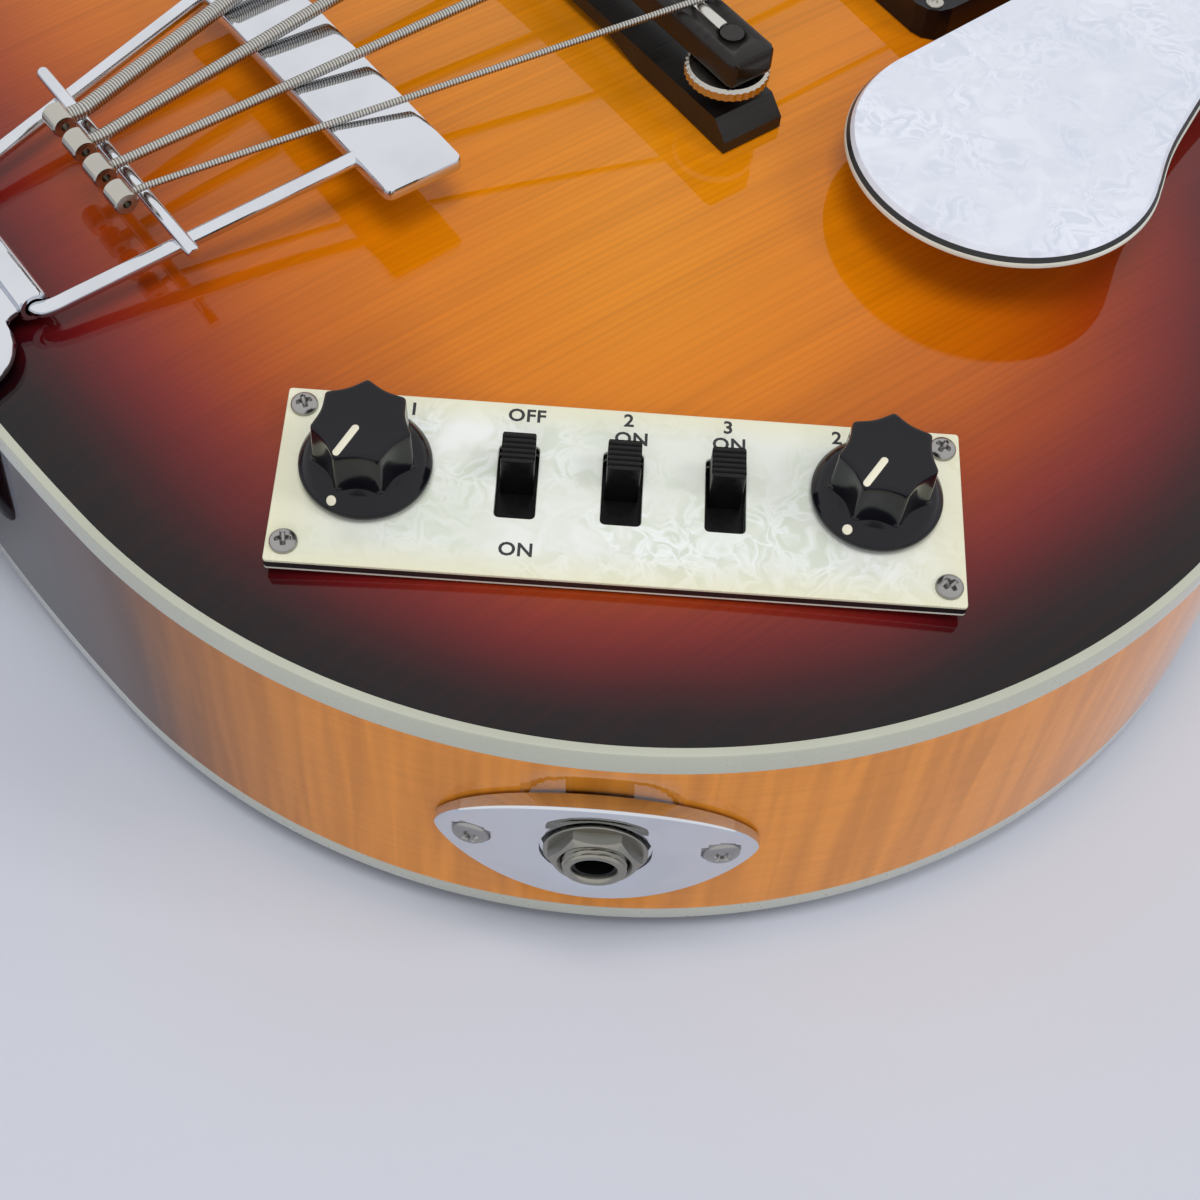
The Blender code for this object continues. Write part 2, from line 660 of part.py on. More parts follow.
def build_neck():
    """Neck with its headstock, fretboard, nut, truss rod and the cover over the rod's end."""
    reach = 1 / math.cos(NECK_TILT)
    under = -BOARD_THICKNESS - GAP
    heel = -(SCALE_LENGTH - SHOULDER_Y) * reach
    sections = [(-53, 0.8 * MM, 0.35), (-27, 2.1 * MM, 0.35), (0.4, 3.9 * MM, 0.35),
                (0.9, HEEL_DEPTH, 0.35), (14, 0.94 * HEEL_DEPTH, 0.45), (27, 0.74 * HEEL_DEPTH, 0.6),
                (40, 0.52 * HEEL_DEPTH, 0.8), (56, NECK_DEPTH_AT_HEEL, 1.0)]
    rings = [neck_section(board_width(heel + step * MM) - GAP, depth, heel + step * MM, square, under)
             for step, depth, square in sections]
    for y in (-220 * MM, -30 * MM):
        depth = NECK_DEPTH_AT_NUT + (NECK_DEPTH_AT_HEEL - NECK_DEPTH_AT_NUT) * y / (heel + 56 * MM)
        rings.append(neck_section(board_width(y) - GAP, depth, y, 1.0, under))
    rings.append(neck_section(NUT_WIDTH - GAP, 15 * MM, 2 * MM, 0.6, under))
    neck = loft("neck", rings, MAPLE, NECK_FRAME)
    head = as_mesh(flat_shape("head_block", [head_outline(-6 * MM)], HEAD_THICKNESS, -HEAD_THICKNESS, MAPLE,
                              HEAD_FRAME), MAPLE)
    carve(neck, head, "UNION")
    slot = box("rod_slot", (6.6 * MM, 440 * MM, 8.2 * MM), (0, -205 * MM, under - 4 * MM), None, NECK_FRAME)
    carve(neck, slot)
    for number, (x, y) in enumerate(post_places(), 1):
        profile = ((0, 10 * MM), (5.2 * MM, 10 * MM), (5.2 * MM, -20 * MM), (0, -20 * MM))
        carve(neck, turned(f"post_hole_{number}", profile, 20, None, HEAD_FRAME, (x, y, 0)))
    rod_profile = ((0, 14 * MM), (2.9 * MM, 14 * MM), (2.9 * MM, 4 * MM), (2.4 * MM, 4 * MM),
                   (2.4 * MM, -410 * MM), (0, -410 * MM))
    rod = turned("truss_rod", rod_profile, 10, STEEL, NECK_FRAME, (0, -1 * MM, under - 5 * MM))
    along(rod, (0, 1, 0))
    cover = smooth_curve([(-9, 3), (-9.5, 12), (-5, 26), (0, 31), (5, 26), (9.5, 12), (9, 3)], 3)
    cover = [(x * MM, y * MM) for x, y in cover]
    flat_shape("truss_rod_cover", [cover], 1.6 * MM, GAP, PEARL, HEAD_FRAME)
    build_fretboard((SCALE_LENGTH - BOARD_END_Y) * reach)
    box("nut", (NUT_WIDTH, NUT_DEPTH, 7.4 * MM), (0, NUT_DEPTH / 2 + GAP, nut_top() - 3.7 * MM), IVORY,
        NECK_FRAME)


def nut_top():
    """Height of the nut's top in the neck frame, one fine gap below the strings."""
    return (NUT_REST_Z - BOARD_TOP_AT_NUT) - FINE_GAP


def build_fretboard(length):
    """The fretboard with its frets pressed in."""
    rings = []
    for y in (-length, -GAP):
        width = board_width(y)
        edge = [(width / 2, y, -BOARD_THICKNESS), (-width / 2, y, -BOARD_THICKNESS)]
        rings.append(crown(width, y, 0) + edge)
    board = loft("fretboard", rings, ROSEWOOD, NECK_FRAME)
    frets = []
    for number in range(1, FRET_COUNT + 1):
        y = fret_y(number)
        width = board_width(y) - 1 * MM
        half = FRET_WIDTH / 2
        rows = [crown(width, y + place, rise, 3) for place, rise in
                ((-half, -0.5 * MM), (-half / 2, FRET_HEIGHT), (half / 2, FRET_HEIGHT), (half, -0.5 * MM))]
        across = [[row[index] for row in rows] for index in range(3)]
        frets.append((baked(loft("fret", across, NICKEL, NECK_FRAME)), Matrix.Identity(4)))
    carve(board, gather("fret_wires", frets, None), "UNION")


def fret_y(number):
    """Place of a fret along the neck frame."""
    return -SCALE_LENGTH * (1 - 2 ** (-number / 12))


def head_outline(start):
    """The headstock's plan, from a place along it."""
    half = smooth_curve([(x * MM, max(y * MM, start)) for x, y in HEAD_HALF_OUTLINE], 3)
    return half + [(-x, y) for x, y in reversed(half[:-1])]


def post_places():
    """Plan places of the four posts on the head, in the order of the strings."""
    near, far = POST_YS
    return ((-POST_X, near), (-POST_X, far), (POST_X, far), (POST_X, near))


def build_tuners():
    """Base strips, keys with worms, and posts with gear wheels."""
    strip_top = -HEAD_THICKNESS - GAP
    gear_top = strip_top - STRIP_THICKNESS - GEAR_DROP
    shaft_z = gear_top - GEAR_THICKNESS / 2
    offset = GEAR_RADIUS + WORM_RADIUS + WORM_GEAR_GAP
    for number, (x, y) in enumerate(post_places(), 1):
        build_post(number, x, y, gear_top)
        build_key(number, math.copysign(1, x), (x, y - offset, shaft_z))
    for name, side in (("tuner_strip_bass", -1), ("tuner_strip_treble", 1)):
        build_strip(name, side, strip_top, shaft_z, offset)


def build_post(number, x, y, gear_top):
    """A string post, waisted where the string winds, with its gear wheel under the head."""
    count = 2 * GEAR_TEETH
    plain = [(POST_RADIUS * 1.15, POST_HEIGHT), (POST_RADIUS * 1.15, POST_HEIGHT - 2 * MM),
             (POST_RADIUS * 0.9, POST_HEIGHT - 3 * MM), (POST_RADIUS * 0.9, 2.5 * MM), (POST_RADIUS, 2 * MM),
             (POST_RADIUS, gear_top)]
    rings = [raised(circle(radius, count), z) for radius, z in plain]
    teeth = [(px * (1 if index % 2 else 0.86), py * (1 if index % 2 else 0.86))
             for index, (px, py) in enumerate(circle(GEAR_RADIUS, count))]
    rings += [raised(teeth, gear_top), raised(teeth, gear_top - GEAR_THICKNESS)]
    loft(f"tuner_post_{number}", rings, CHROME, HEAD_FRAME, (x, y, 0))


def build_key(number, side, place):
    """A key: shaft with its worm between the strip's ears, and a flat oval button."""
    ridge, root = WORM_RADIUS, WORM_RADIUS * 0.72
    rings = [(-7.5, KEY_SHAFT_RADIUS, KEY_SHAFT_RADIUS), (-4.6, KEY_SHAFT_RADIUS, KEY_SHAFT_RADIUS)]
    for turn in range(3):
        start = -4.5 + 3 * turn
        rings += [(start, root, root), (start + 1.2, ridge, ridge), (start + 1.8, ridge, ridge)]
    rings += [(4.3, root, root), (4.4, KEY_SHAFT_RADIUS, KEY_SHAFT_RADIUS)]
    reach = (KEY_BUTTON_X - abs(place[0])) / MM
    shaft = KEY_SHAFT_RADIUS
    rings += [(reach - 5, shaft, shaft), (reach - 4, 3 * MM, 3 * MM), (reach - 1, 3 * MM, 3 * MM),
              (reach, 5 * MM, 2.6 * MM), (reach + 3, 9 * MM, 3 * MM), (reach + 8, 10 * MM, 3 * MM),
              (reach + 12, 7.5 * MM, 2.6 * MM), (reach + 14, 3 * MM, 1.4 * MM)]
    skin = []
    for along_x, wide, thick in rings:
        skin.append([(side * along_x * MM, wide * math.cos(angle), thick * math.sin(angle))
                     for angle in (2 * math.pi * index / 8 for index in range(8))])
    loft(f"tuner_key_{number}", skin, CHROME, HEAD_FRAME, place)


def build_strip(name, side, strip_top, shaft_z, offset):
    """One base strip with ears that carry two key shafts."""
    middle = sum(POST_YS) / 2 - 2 * MM
    outline = [(x + side * (POST_X + 1 * MM), y + middle)
               for x, y in rounded_rectangle(20 * MM, 96 * MM, 5 * MM, 3)]
    holes = [circle(5.5 * MM, 12, (side * POST_X, y)) for y in POST_YS]
    low = strip_top - STRIP_THICKNESS
    strip = as_mesh(flat_shape(name, [outline] + holes, STRIP_THICKNESS, low, NICKEL, HEAD_FRAME), NICKEL)
    ears = []
    for y in POST_YS:
        for x in (side * POST_X - 6 * MM, side * POST_X + 6 * MM):
            height = low - shaft_z + 2.6 * MM + 0.4 * MM
            profile = rounded_rectangle(5.4 * MM, height, 1.2 * MM, 2)
            hole = circle(KEY_SHAFT_RADIUS + 2 * FINE_GAP, 8, (0, height / 2 - 0.4 * MM - (low - shaft_z)))
            ear = flat_shape("ear", [profile, hole], 1.6 * MM, -0.8 * MM, NICKEL)
            place = Matrix.Translation((x, y - offset, low + 0.4 * MM - height / 2))
            turn = Matrix.Rotation(math.pi / 2, 4, "Z") @ Matrix.Rotation(math.pi / 2, 4, "X")
            ears.append((baked(ear), HEAD_FRAME.matrix_world @ place @ turn))
    carve(strip, gather(name + "_ears", ears, None), "UNION")


def build_bridge():
    """Base with its two threaded posts, thumbwheels, and the saddle beam with its four wires."""
    half = BRIDGE_WIDTH / 2
    feet = [(-half, 0), (-half + 3 * MM, 3 * MM), (half - 3 * MM, 3 * MM), (half, 0)]
    top = [(x, BRIDGE_BASE_TOP - 3 * MM + z) for x, z in reversed(feet)]
    samples = 13
    under = []
    for index in range(samples):
        x = half * (2 * index / (samples - 1) - 1)
        lift = 1.6 * MM if abs(x) < 22 * MM else 0
        under.append((x, top_z(x, 0) + GAP + lift))
    rings = [[(x, y, z) for x, z in under + top] for y in (-BRIDGE_DEPTH / 2, BRIDGE_DEPTH / 2)]
    base = loft("bridge_base", rings, EBONY)
    beam_low = THUMBWHEEL_Z + THUMBWHEEL_HEIGHT + GAP
    beam = box("bridge_saddle", (BRIDGE_WIDTH - 4 * MM, 9 * MM, SADDLE_HEIGHT),
               (0, 0, beam_low + SADDLE_HEIGHT / 2), EBONY)
    bevelled(beam, 1.2 * MM)
    bore = BRIDGE_POST_RADIUS + FINE_GAP
    for name, side in (("thumbwheel_bass", -1), ("thumbwheel_treble", 1)):
        x = side * BRIDGE_POST_X
        high, low = 80.1 * MM, BRIDGE_BASE_TOP - 1.5 * MM
        shank = ((0, high), (BRIDGE_POST_RADIUS, high), (BRIDGE_POST_RADIUS, low), (0, low))
        carve(base, turned(f"{name}_post", shank, 12, None, location=(x, 0, 0)), "UNION")
        drill = ((0, 90 * MM), (bore, 90 * MM), (bore, 67.6 * MM), (0, 67.6 * MM))
        carve(beam, turned(f"{name}_drill", drill, 12, None, location=(x, 0, 0)))
        high = THUMBWHEEL_HEIGHT
        rim = ((bore, 0), (bore, high), (THUMBWHEEL_RADIUS - 0.5 * MM, high),
               (THUMBWHEEL_RADIUS, high - 0.5 * MM), (THUMBWHEEL_RADIUS, 0.5 * MM),
               (THUMBWHEEL_RADIUS - 0.5 * MM, 0))
        turned(name, rim, 18, NICKEL, location=(x, 0, THUMBWHEEL_Z), ring=True)
    for index, string in enumerate(STRING_NAMES):
        x = BRIDGE_SPACING * (index - 1.5)
        low = beam_low + SADDLE_HEIGHT / 2
        high = STRING_REST_Z - FINE_GAP
        section = [(-1.1 * MM, low), (-1.1 * MM, high - 0.4 * MM), (-0.6 * MM, high), (0.6 * MM, high),
                   (1.1 * MM, high - 0.4 * MM), (1.1 * MM, low)]
        rings = [[(x + end, y, z) for y, z in section] for end in (-6 * MM, 6 * MM)]
        carve(beam, loft(f"saddle_wire_{string}", rings, None), "UNION")


def rod_point(y, side):
    """Centre of a trapeze rod at a place between the hinge and the front bar."""
    start = Vector((ROD_X_AT_HINGE, HINGE_Y, HINGE_Z))
    end = Vector((ROD_X_AT_BAR, BAR_SPAN_Y[0], BAR_TOP_Z - BAR_THICKNESS / 2))
    place = start + (end - start) * ((y - start.y) / (end.y - start.y))
    return Vector((side * place.x, place.y, place.z))


def build_tailpiece():
    """Bracket with its hinge roll, trapeze with the front bar, and crossbar."""
    rings = []
    for index, (y, z, half) in enumerate(BRACKET_PATH):
        before = BRACKET_PATH[max(index - 1, 0)]
        after = BRACKET_PATH[min(index + 1, len(BRACKET_PATH) - 1)]
        heading = Vector((0, after[0] - before[0], after[1] - before[1])).normalized()
        out = Vector((0, heading.z, -heading.y)) * BRACKET_THICKNESS
        inner = Vector((0, y, z)) * MM
        wide = Vector((half * MM, 0, 0))
        rings.append([inner - wide, inner + wide, inner + wide + out, inner - wide + out])
    bracket = loft("tailpiece_bracket", rings, CHROME)
    half = ROLL_HALF_LENGTH
    bore = ROD_RADIUS + GAP
    ring = ((bore, -half), (bore, half), (ROLL_RADIUS, half), (ROLL_RADIUS, -half))
    roll = turned("hinge_roll", ring, 14, None, location=(0, HINGE_Y, HINGE_Z), ring=True)
    carve(bracket, along(roll, (1, 0, 0)), "UNION")
    build_trapeze()
    bar = as_mesh(tube("tailpiece_crossbar", crossbar_points(), CROSSBAR_RADIUS, 2, CHROME), CHROME)
    smooth(bar)


def crossbar_points():
    """The crossbar's ends, resting over the rods."""
    z = rod_point(CROSSBAR_Y, 1).z + ROD_RADIUS + CROSSBAR_RADIUS + GAP
    return [(-CROSSBAR_HALF_LENGTH, CROSSBAR_Y, z), (CROSSBAR_HALF_LENGTH, CROSSBAR_Y, z)]


def build_trapeze():
    """Two flared rods, their ends bent into the hinge roll, soldered to the front bar."""
    low, high = BAR_SPAN_Y
    size = (2 * BAR_HALF_WIDTH, high - low, BAR_THICKNESS)
    bar = bevelled(box("tailpiece_frame", size, (0, (low + high) / 2, BAR_TOP_Z - BAR_THICKNESS / 2), CHROME),
                   1 * MM)
    for side, name in ((-1, "rod_bass"), (1, "rod_treble")):
        bend = rod_point(HINGE_Y, side)
        points = [(bend.x - side * 6 * MM, bend.y, bend.z), (bend.x - side * 0.6 * MM, bend.y, bend.z),
                  tuple(rod_point(HINGE_Y + 0.8 * MM, side)), tuple(rod_point((HINGE_Y + low) / 2, side)),
                  tuple(rod_point(low, side)), tuple(rod_point(low, side) + Vector((0, 7 * MM, 0)))]
        rod = as_mesh(tube(name, points, ROD_RADIUS, 2, None), None)
        carve(bar, rod, "UNION")


def build_pickups():
    """Surrounds that follow the top, and the potted pickups in them."""
    low = EDGE_Z + 5 * MM
    for name, y, top in zip(("bridge", "neck"), PICKUP_YS, PICKUP_TOPS):
        outlines = [rounded_rectangle(*SURROUND_SIZE, 4.4 * MM),
                    rounded_rectangle(COVER_SIZE[0] + 1 * MM, COVER_SIZE[1] + 1 * MM, 3 * MM)]
        flat = flat_shape(f"pickup_surround_{name}", outlines, SURROUND_TOP_Z - low, low, BLACK)
        flat.location.y = y
        carve(as_mesh(flat, BLACK), top_blank(f"top_blank_{name}"))
        width, depth = COVER_SIZE
        rings = []
        for inset, z in ((0, COVER_BASE_Z), (0, top - 1 * MM), (0.3 * MM, top - 0.3 * MM), (1 * MM, top)):
            outline = rounded_rectangle(width - 2 * inset, depth - 2 * inset, 3 * MM - inset)
            rings.append(raised(outline, z))
        loft(f"pickup_{name}", rings, CHROME, location=(0, y, 0))


def top_blank(name):
    """A solid just larger than the top's dome, to fit feet to it."""
    outline = body_outline()
    low = 40 * MM
    rings = [raised(outline, low)]
    for level in (1, 0.9, 0.75, 0.56, 0.35, TOP_CROWN_LEVEL):
        rings.append(raised(shrunk(outline, level, TOP_SPINE), EDGE_Z + top_rise(level) + GAP))
    return loft(name, rings, None)


def build_panel():
    """Control panel, pots, knobs, slide switches and their levers."""
    outlines = [[(x, y) for x, y in rounded_rectangle(*PANEL_SIZE, 0.6 * MM, 2)]]
    for x in SWITCH_XS:
        slot = rounded_rectangle(*SLOT_SIZE, 0.5 * MM, 2)
        outlines.append([(px + x, py + SLOT_Y) for px, py in slot])
    for x, y, _ in KNOB_PLACES:
        outlines.append(circle(4.8 * MM, 20, (x, y)))
    for side_x in (-1, 1):
        for side_y in (-1, 1):
            outlines.append(circle(1.3 * MM, 10, (side_x * PANEL_SCREW_X, side_y * PANEL_SCREW_Y)))
    flat_shape("control_panel", outlines, PANEL_THICKNESS, -PANEL_THICKNESS, PEARL, PANEL_FRAME)
    below = -PANEL_THICKNESS - GAP
    bore = SHAFT_RADIUS + FINE_GAP
    for number, (x, y, bearing) in enumerate(KNOB_PLACES, 1):
        profile = ((0, -7.4 * MM), (bore, -7.4 * MM), (bore, 0.3 * MM), (4.5 * MM, 0.3 * MM), (4.5 * MM, below),
                   (POT_RADIUS, below), (POT_RADIUS, below - POT_DEPTH), (0, below - POT_DEPTH))
        turned(f"potentiometer_{number}", profile, 18, NICKEL, PANEL_FRAME, (x, y, 0))
        build_knob(f"knob_{number}", x, y, bearing)
    for number, x in enumerate(SWITCH_XS, 1):
        depth = SWITCH_BODY_SIZE[2]
        place = (x, SLOT_Y, below - depth / 2)
        body = box(f"switch_body_{number}", SWITCH_BODY_SIZE, place, STEEL, PANEL_FRAME)
        pocket = (SLOT_SIZE[0], SLOT_SIZE[1], 2 * 4 * MM)
        carve(body, box(f"switch_pocket_{number}", pocket, (x, SLOT_Y, below), None, PANEL_FRAME))
        build_lever(f"switch_lever_{number}", x)
    shape = screw_shape(2 * MM, 1.2 * MM, 1 * MM, PANEL_THICKNESS - GAP)
    corners = ((-1, 1), (1, 1), (1, -1), (-1, -1))
    for number, (side_x, side_y) in enumerate(corners, 1):
        spot = (side_x * PANEL_SCREW_X, side_y * PANEL_SCREW_Y, FINE_GAP)
        turned(f"panel_screw_{number}", shape, 10, NICKEL, PANEL_FRAME, spot)


def build_knob(name, x, y, bearing):
    """A skirted knob with seven hollow flutes, fused to its shaft; one corner points along the bearing."""
    per_side = 4
    count = KNOB_SIDES * per_side

    def star(radius, hollow, z):
        points = []
        for index in range(count):
            share = (index % per_side) / per_side
            angle = bearing + 2 * math.pi * index / count
            half = math.pi / KNOB_SIDES
            chord = radius * math.cos(half) / math.cos(2 * half * share - half)
            reach = chord - hollow * math.sin(math.pi * share)
            points.append((reach * math.cos(angle), reach * math.sin(angle), z))
        return points
    grip = KNOB_GRIP_RADIUS
    skirt = KNOB_SKIRT_RADIUS
    plain = [(SHAFT_RADIUS, -7.1), (SHAFT_RADIUS, 1.2), (skirt - 0.3 * MM, 0.6), (skirt, 0.9),
             (skirt, 1.7), (skirt - 0.4 * MM, 2.4), (grip + 0.5 * MM, 3.3)]
    rings = [raised(circle(radius, count, start=bearing), z * MM) for radius, z in plain]
    rings += [star(grip, 0.45 * MM, 3.5 * MM), star(grip - 0.35 * MM, 0.55 * MM, KNOB_HEIGHT - 0.4 * MM),
              star(grip - 0.75 * MM, 0.5 * MM, KNOB_HEIGHT)]
    loft(name, rings, BLACK, PANEL_FRAME, (x, y, 0))


def build_lever(name, x):
    """A slide-switch lever at the far end of its slot, ridged on top."""
    width, length, height = LEVER_SIZE
    foot = 5.6 * MM
    spread = 0.5 * MM
    side = [(-length / 2 - spread, -foot), (length / 2 + spread, -foot), (length / 2, height)]
    pitch = length / LEVER_RIDGES
    for index in range(LEVER_RIDGES):
        edge = length / 2 - pitch * index
        side += [(edge - 0.45 * pitch, height + 0.05 * MM), (edge - 0.6 * pitch, height - 0.45 * MM),
                 (edge - 0.9 * pitch, height - 0.45 * MM)]
    side.append((-length / 2, height - 0.1 * MM))
    rings = [[(end * width / 2, y, z) for y, z in side] for end in (-1, 1)]
    loft(name, rings, BLACK, PANEL_FRAME, (x, LEVER_Y, 0))


def wall_sag(x):
    """How far the round side wall has fallen back at a place along the jack's frame."""
    return -x * x / (2 * LOWER_RADIUS)


def face_fall(x):
    """How far the jack plate's front has fallen back there: it follows the wall and thins to its tips."""
    return wall_sag(x) - JACK_PLATE_TAPER * (2 * x / JACK_PLATE_SIZE[0]) ** 2


def build_jack():
    """Curved eye-shaped plate with a dish, jack with its open barrel, and hexagon nut on its round face."""
    count = 28
    half_length, half_height = JACK_PLATE_SIZE[0] / 2, JACK_PLATE_SIZE[1] / 2

    def eye(scale, z, fall):
        points = []
        for index in range(count):
            angle = 2 * math.pi * index / count
            x = half_length * scale * math.cos(angle)
            y = half_height * scale * math.copysign(abs(math.sin(angle)) ** 1.35, math.sin(angle))
            points.append((x, y, z + fall(x)))
        return points

    def ring(radius, z):
        return raised(circle(radius, count), z)
    face = JACK_PLATE_THICKNESS
    rings = [eye(1, GAP, wall_sag), eye(1, face - 0.6 * MM, face_fall), eye(0.965, face, face_fall),
             ring(JACK_DISH_RADIUS, face - 0.3 * MM), ring(8.4 * MM, 1.5 * MM), ring(5.1 * MM, 1.5 * MM),
             ring(5.1 * MM, 0.4 * MM)]
    plate = loft("jack_plate", rings, CHROME, JACK_FRAME, around=True)
    for side in (-1, 1):
        profile = ((0, 9 * MM), (1.8 * MM, 9 * MM), (1.8 * MM, -9 * MM), (0, -9 * MM))
        x = side * JACK_SCREW_X
        carve(plate, turned(f"plate_hole_{side}", profile, 10, None, JACK_FRAME, (x, 0, 0)))
        screw = turned(f"jack_screw_{(3 + side) // 2}", screw_shape(2.7 * MM, 1 * MM, 1.2 * MM, 2.2 * MM), 10,
                       NICKEL, JACK_FRAME, (x, 0, JACK_PLATE_THICKNESS + face_fall(x) + GAP))
        screw.rotation_euler.y = math.asin(x / LOWER_RADIUS)
    barrel = ((JACK_BORE_RADIUS, -24 * MM), (JACK_BORE_RADIUS, JACK_MOUTH_Z), (4.4 * MM, JACK_MOUTH_Z),
              (JACK_BUSHING_RADIUS, JACK_MOUTH_Z - 0.4 * MM), (JACK_BUSHING_RADIUS, -0.6 * MM),
              (8.6 * MM, -0.6 * MM), (8.6 * MM, -3 * MM), (7 * MM, -4 * MM), (7 * MM, -24 * MM))
    turned("jack_socket", barrel, 24, NICKEL, JACK_FRAME, ring=True)
    low = 1.5 * MM + GAP
    corner = JACK_NUT_CORNER_RADIUS
    face_radius, face_depth = JACK_NUT_FACE
    nut = [raised(circle(JACK_BUSHING_RADIUS + GAP, 24), low), raised(circle(face_radius, 24), low),
           raised(circle(face_radius, 24), low + face_depth), raised(hexagon(corner, 24), low + face_depth),
           raised(hexagon(corner, 24), low + 2 * MM), raised(circle(5.8 * MM, 24), low + 2.5 * MM),
           raised(circle(JACK_BUSHING_RADIUS + GAP, 24), low + 2.5 * MM)]
    loft("jack_nut", nut, NICKEL, JACK_FRAME, around=True)


def hexagon(corner, count):
    """A hexagon sampled at evenly spaced bearings."""
    points = []
    for index in range(count):
        angle = 2 * math.pi * index / count
        part = angle % (math.pi / 3) - math.pi / 6
        reach = corner * math.cos(math.pi / 6) / math.cos(part)
        points.append((reach * math.cos(angle), reach * math.sin(angle)))
    return points


def build_guard():
    """The raised pickguard and its bent bracket."""
    outline = arc(GUARD_END, GUARD_END_RADIUS, GUARD_END_START, -math.pi, 17)
    ends = [outline[-2], outline[-1]] + [(x * MM, y * MM) for x, y in GUARD_SIDES] + [outline[0], outline[1]]
    outline += smooth_curve(ends, 3)[4:-4]
    flat_shape("pickguard", [outline], GUARD_THICKNESS, GUARD_TOP_Z - GUARD_THICKNESS, PEARL)
    x, y = GUARD_BRACKET
    thick = 1.2 * MM
    reach = 9 * MM
    foot = max(top_z(x - reach, y), top_z(x, y)) + GAP + FINE_GAP
    tab = GUARD_TOP_Z - GUARD_THICKNESS - GAP - thick
    section = [(x - reach, foot), (x + thick, foot), (x + thick, tab), (x + reach, tab),
               (x + reach, tab + thick), (x, tab + thick), (x, foot + thick), (x - reach, foot + thick)]
    rings = [[(across, end, z) for across, z in section] for end in (y - 5 * MM, y + 5 * MM)]
    loft("pickguard_bracket", rings, NICKEL)


def build_strings():
    """Four strings, each from its ball end over the bar, bridge and nut to its winding on the post."""
    places = post_places()
    for index, (name, radius) in enumerate(zip(STRING_NAMES, STRING_RADII)):
        rank = index - 1.5
        bar_cross_z = crossbar_points()[0][2] + CROSSBAR_RADIUS + GAP + radius
        points = [Vector((rank * BALL_SPACING, CROSSBAR_Y - 3.4 * MM, bar_cross_z)),
                  Vector((rank * BALL_SPACING, CROSSBAR_Y, bar_cross_z)),
                  Vector((rank * BRIDGE_SPACING, 0, STRING_REST_Z + radius)),
                  Vector((rank * NUT_SPACING, SCALE_LENGTH + NUT_DEPTH / 2, NUT_REST_Z + radius))]
        points += winding(places[index], radius)
        string = as_mesh(tube(name, points, radius, 1, STEEL), STEEL)
        ball = ((0, 2 * MM), (2 * MM, 2 * MM), (2 * MM, -2 * MM), (0, -2 * MM))
        start = (points[0].x, CROSSBAR_Y - 4 * MM, bar_cross_z)
        carve(string, along(turned(name + "_ball", ball, 12, None, location=start), (1, 0, 0)), "UNION")


def winding(place, radius):
    """Points of a string round its post, from where it arrives on the inner side."""
    x, y = place
    inward = -math.copysign(1, x)
    reach = POST_RADIUS * 0.9 + GAP + radius
    pitch = 2 * radius + WIND_GAP
    points = []
    for step in range(int(WIND_TURNS * WIND_STEPS) + 1):
        turn = 2 * math.pi * step / WIND_STEPS
        spot = Vector((x + inward * reach * math.cos(turn), y + reach * math.sin(turn),
                       WIND_HEIGHT - pitch * turn / (2 * math.pi)))
        points.append(HEAD_FRAME.matrix_world @ spot)
    gap = min((points[index] - points[index - WIND_STEPS]).length for index in range(WIND_STEPS, len(points)))
    print(f"winding at {x:.3f}, {y:.3f}: least gap to itself {(gap - 2 * radius) / MM:.2f} mm")
    return points


def screw_shape(head_radius, head_height, shank_radius, shank_length):
    """Profile of a domed screw whose head rests on z = 0."""
    return ((0, head_height), (head_radius * 0.6, head_height * 0.85), (head_radius, head_height * 0.25),
            (head_radius, 0), (shank_radius, 0), (shank_radius, -shank_length), (0, -shank_length))


def build_strap_buttons():
    """A button on the tail bracket and one on the bass-side shoulder."""
    profile = ((0, 13 * MM), (6.8 * MM, 13 * MM), (7.5 * MM, 12 * MM), (7 * MM, 10.5 * MM), (3.6 * MM, 8 * MM),
               (4 * MM, 3 * MM), (6 * MM, 0.8 * MM), (6 * MM, 0), (0, 0))
    base = STRAP_BUTTON_Y
    along(turned("strap_button_tail", profile, 14, CHROME, location=(0, base, 32 * MM)), (0, -1, 0))
    out = Vector((math.cos(SHOULDER_BEARING), math.sin(SHOULDER_BEARING), 0))
    spot = Vector((-UPPER_X, UPPER_Y, BACK_ARCH + 24 * MM)) + out * (UPPER_RADIUS + GAP)
    along(turned("strap_button_shoulder", profile, 14, CHROME, location=spot), out)


def build_wiring():
    """One harness inside the body: the leads of the two pickups and the jack meet under the switches."""
    junction = (84, -52, 46.5)
    routes = {
        "wiring": [(28, 50, 57), (34, 36, 50), (56, 0, 47), (74, -34, 47), junction],
        "neck_lead": [(-28, 168, 57), (-20, 140, 50), (10, 70, 47), (46, 10, 46), (76, -38, 45.5), junction],
        "jack_lead": [junction, (84, -66, 40), (90, -74, 33), (99, -73, 31)],
    }
    pieces = []
    for name, route in routes.items():
        points = smooth_curve([tuple(value * MM for value in point) for point in route], 2)
        pieces.append(as_mesh(tube(name, points, 1 * MM, 1, BLACK), BLACK))
    for lead in pieces[1:]:
        carve(pieces[0], lead, "UNION")


def jack_frame():
    """Frame on the side wall, Z out of the wall and Y up."""
    x = LOWER_X + LOWER_RADIUS * math.cos(JACK_BEARING)
    y = LOWER_Y + LOWER_RADIUS * math.sin(JACK_BEARING)
    turns = (("X", math.pi / 2), ("Z", JACK_BEARING + math.pi / 2))
    return frame("jack_frame", (x, y, JACK_HEIGHT), turns)


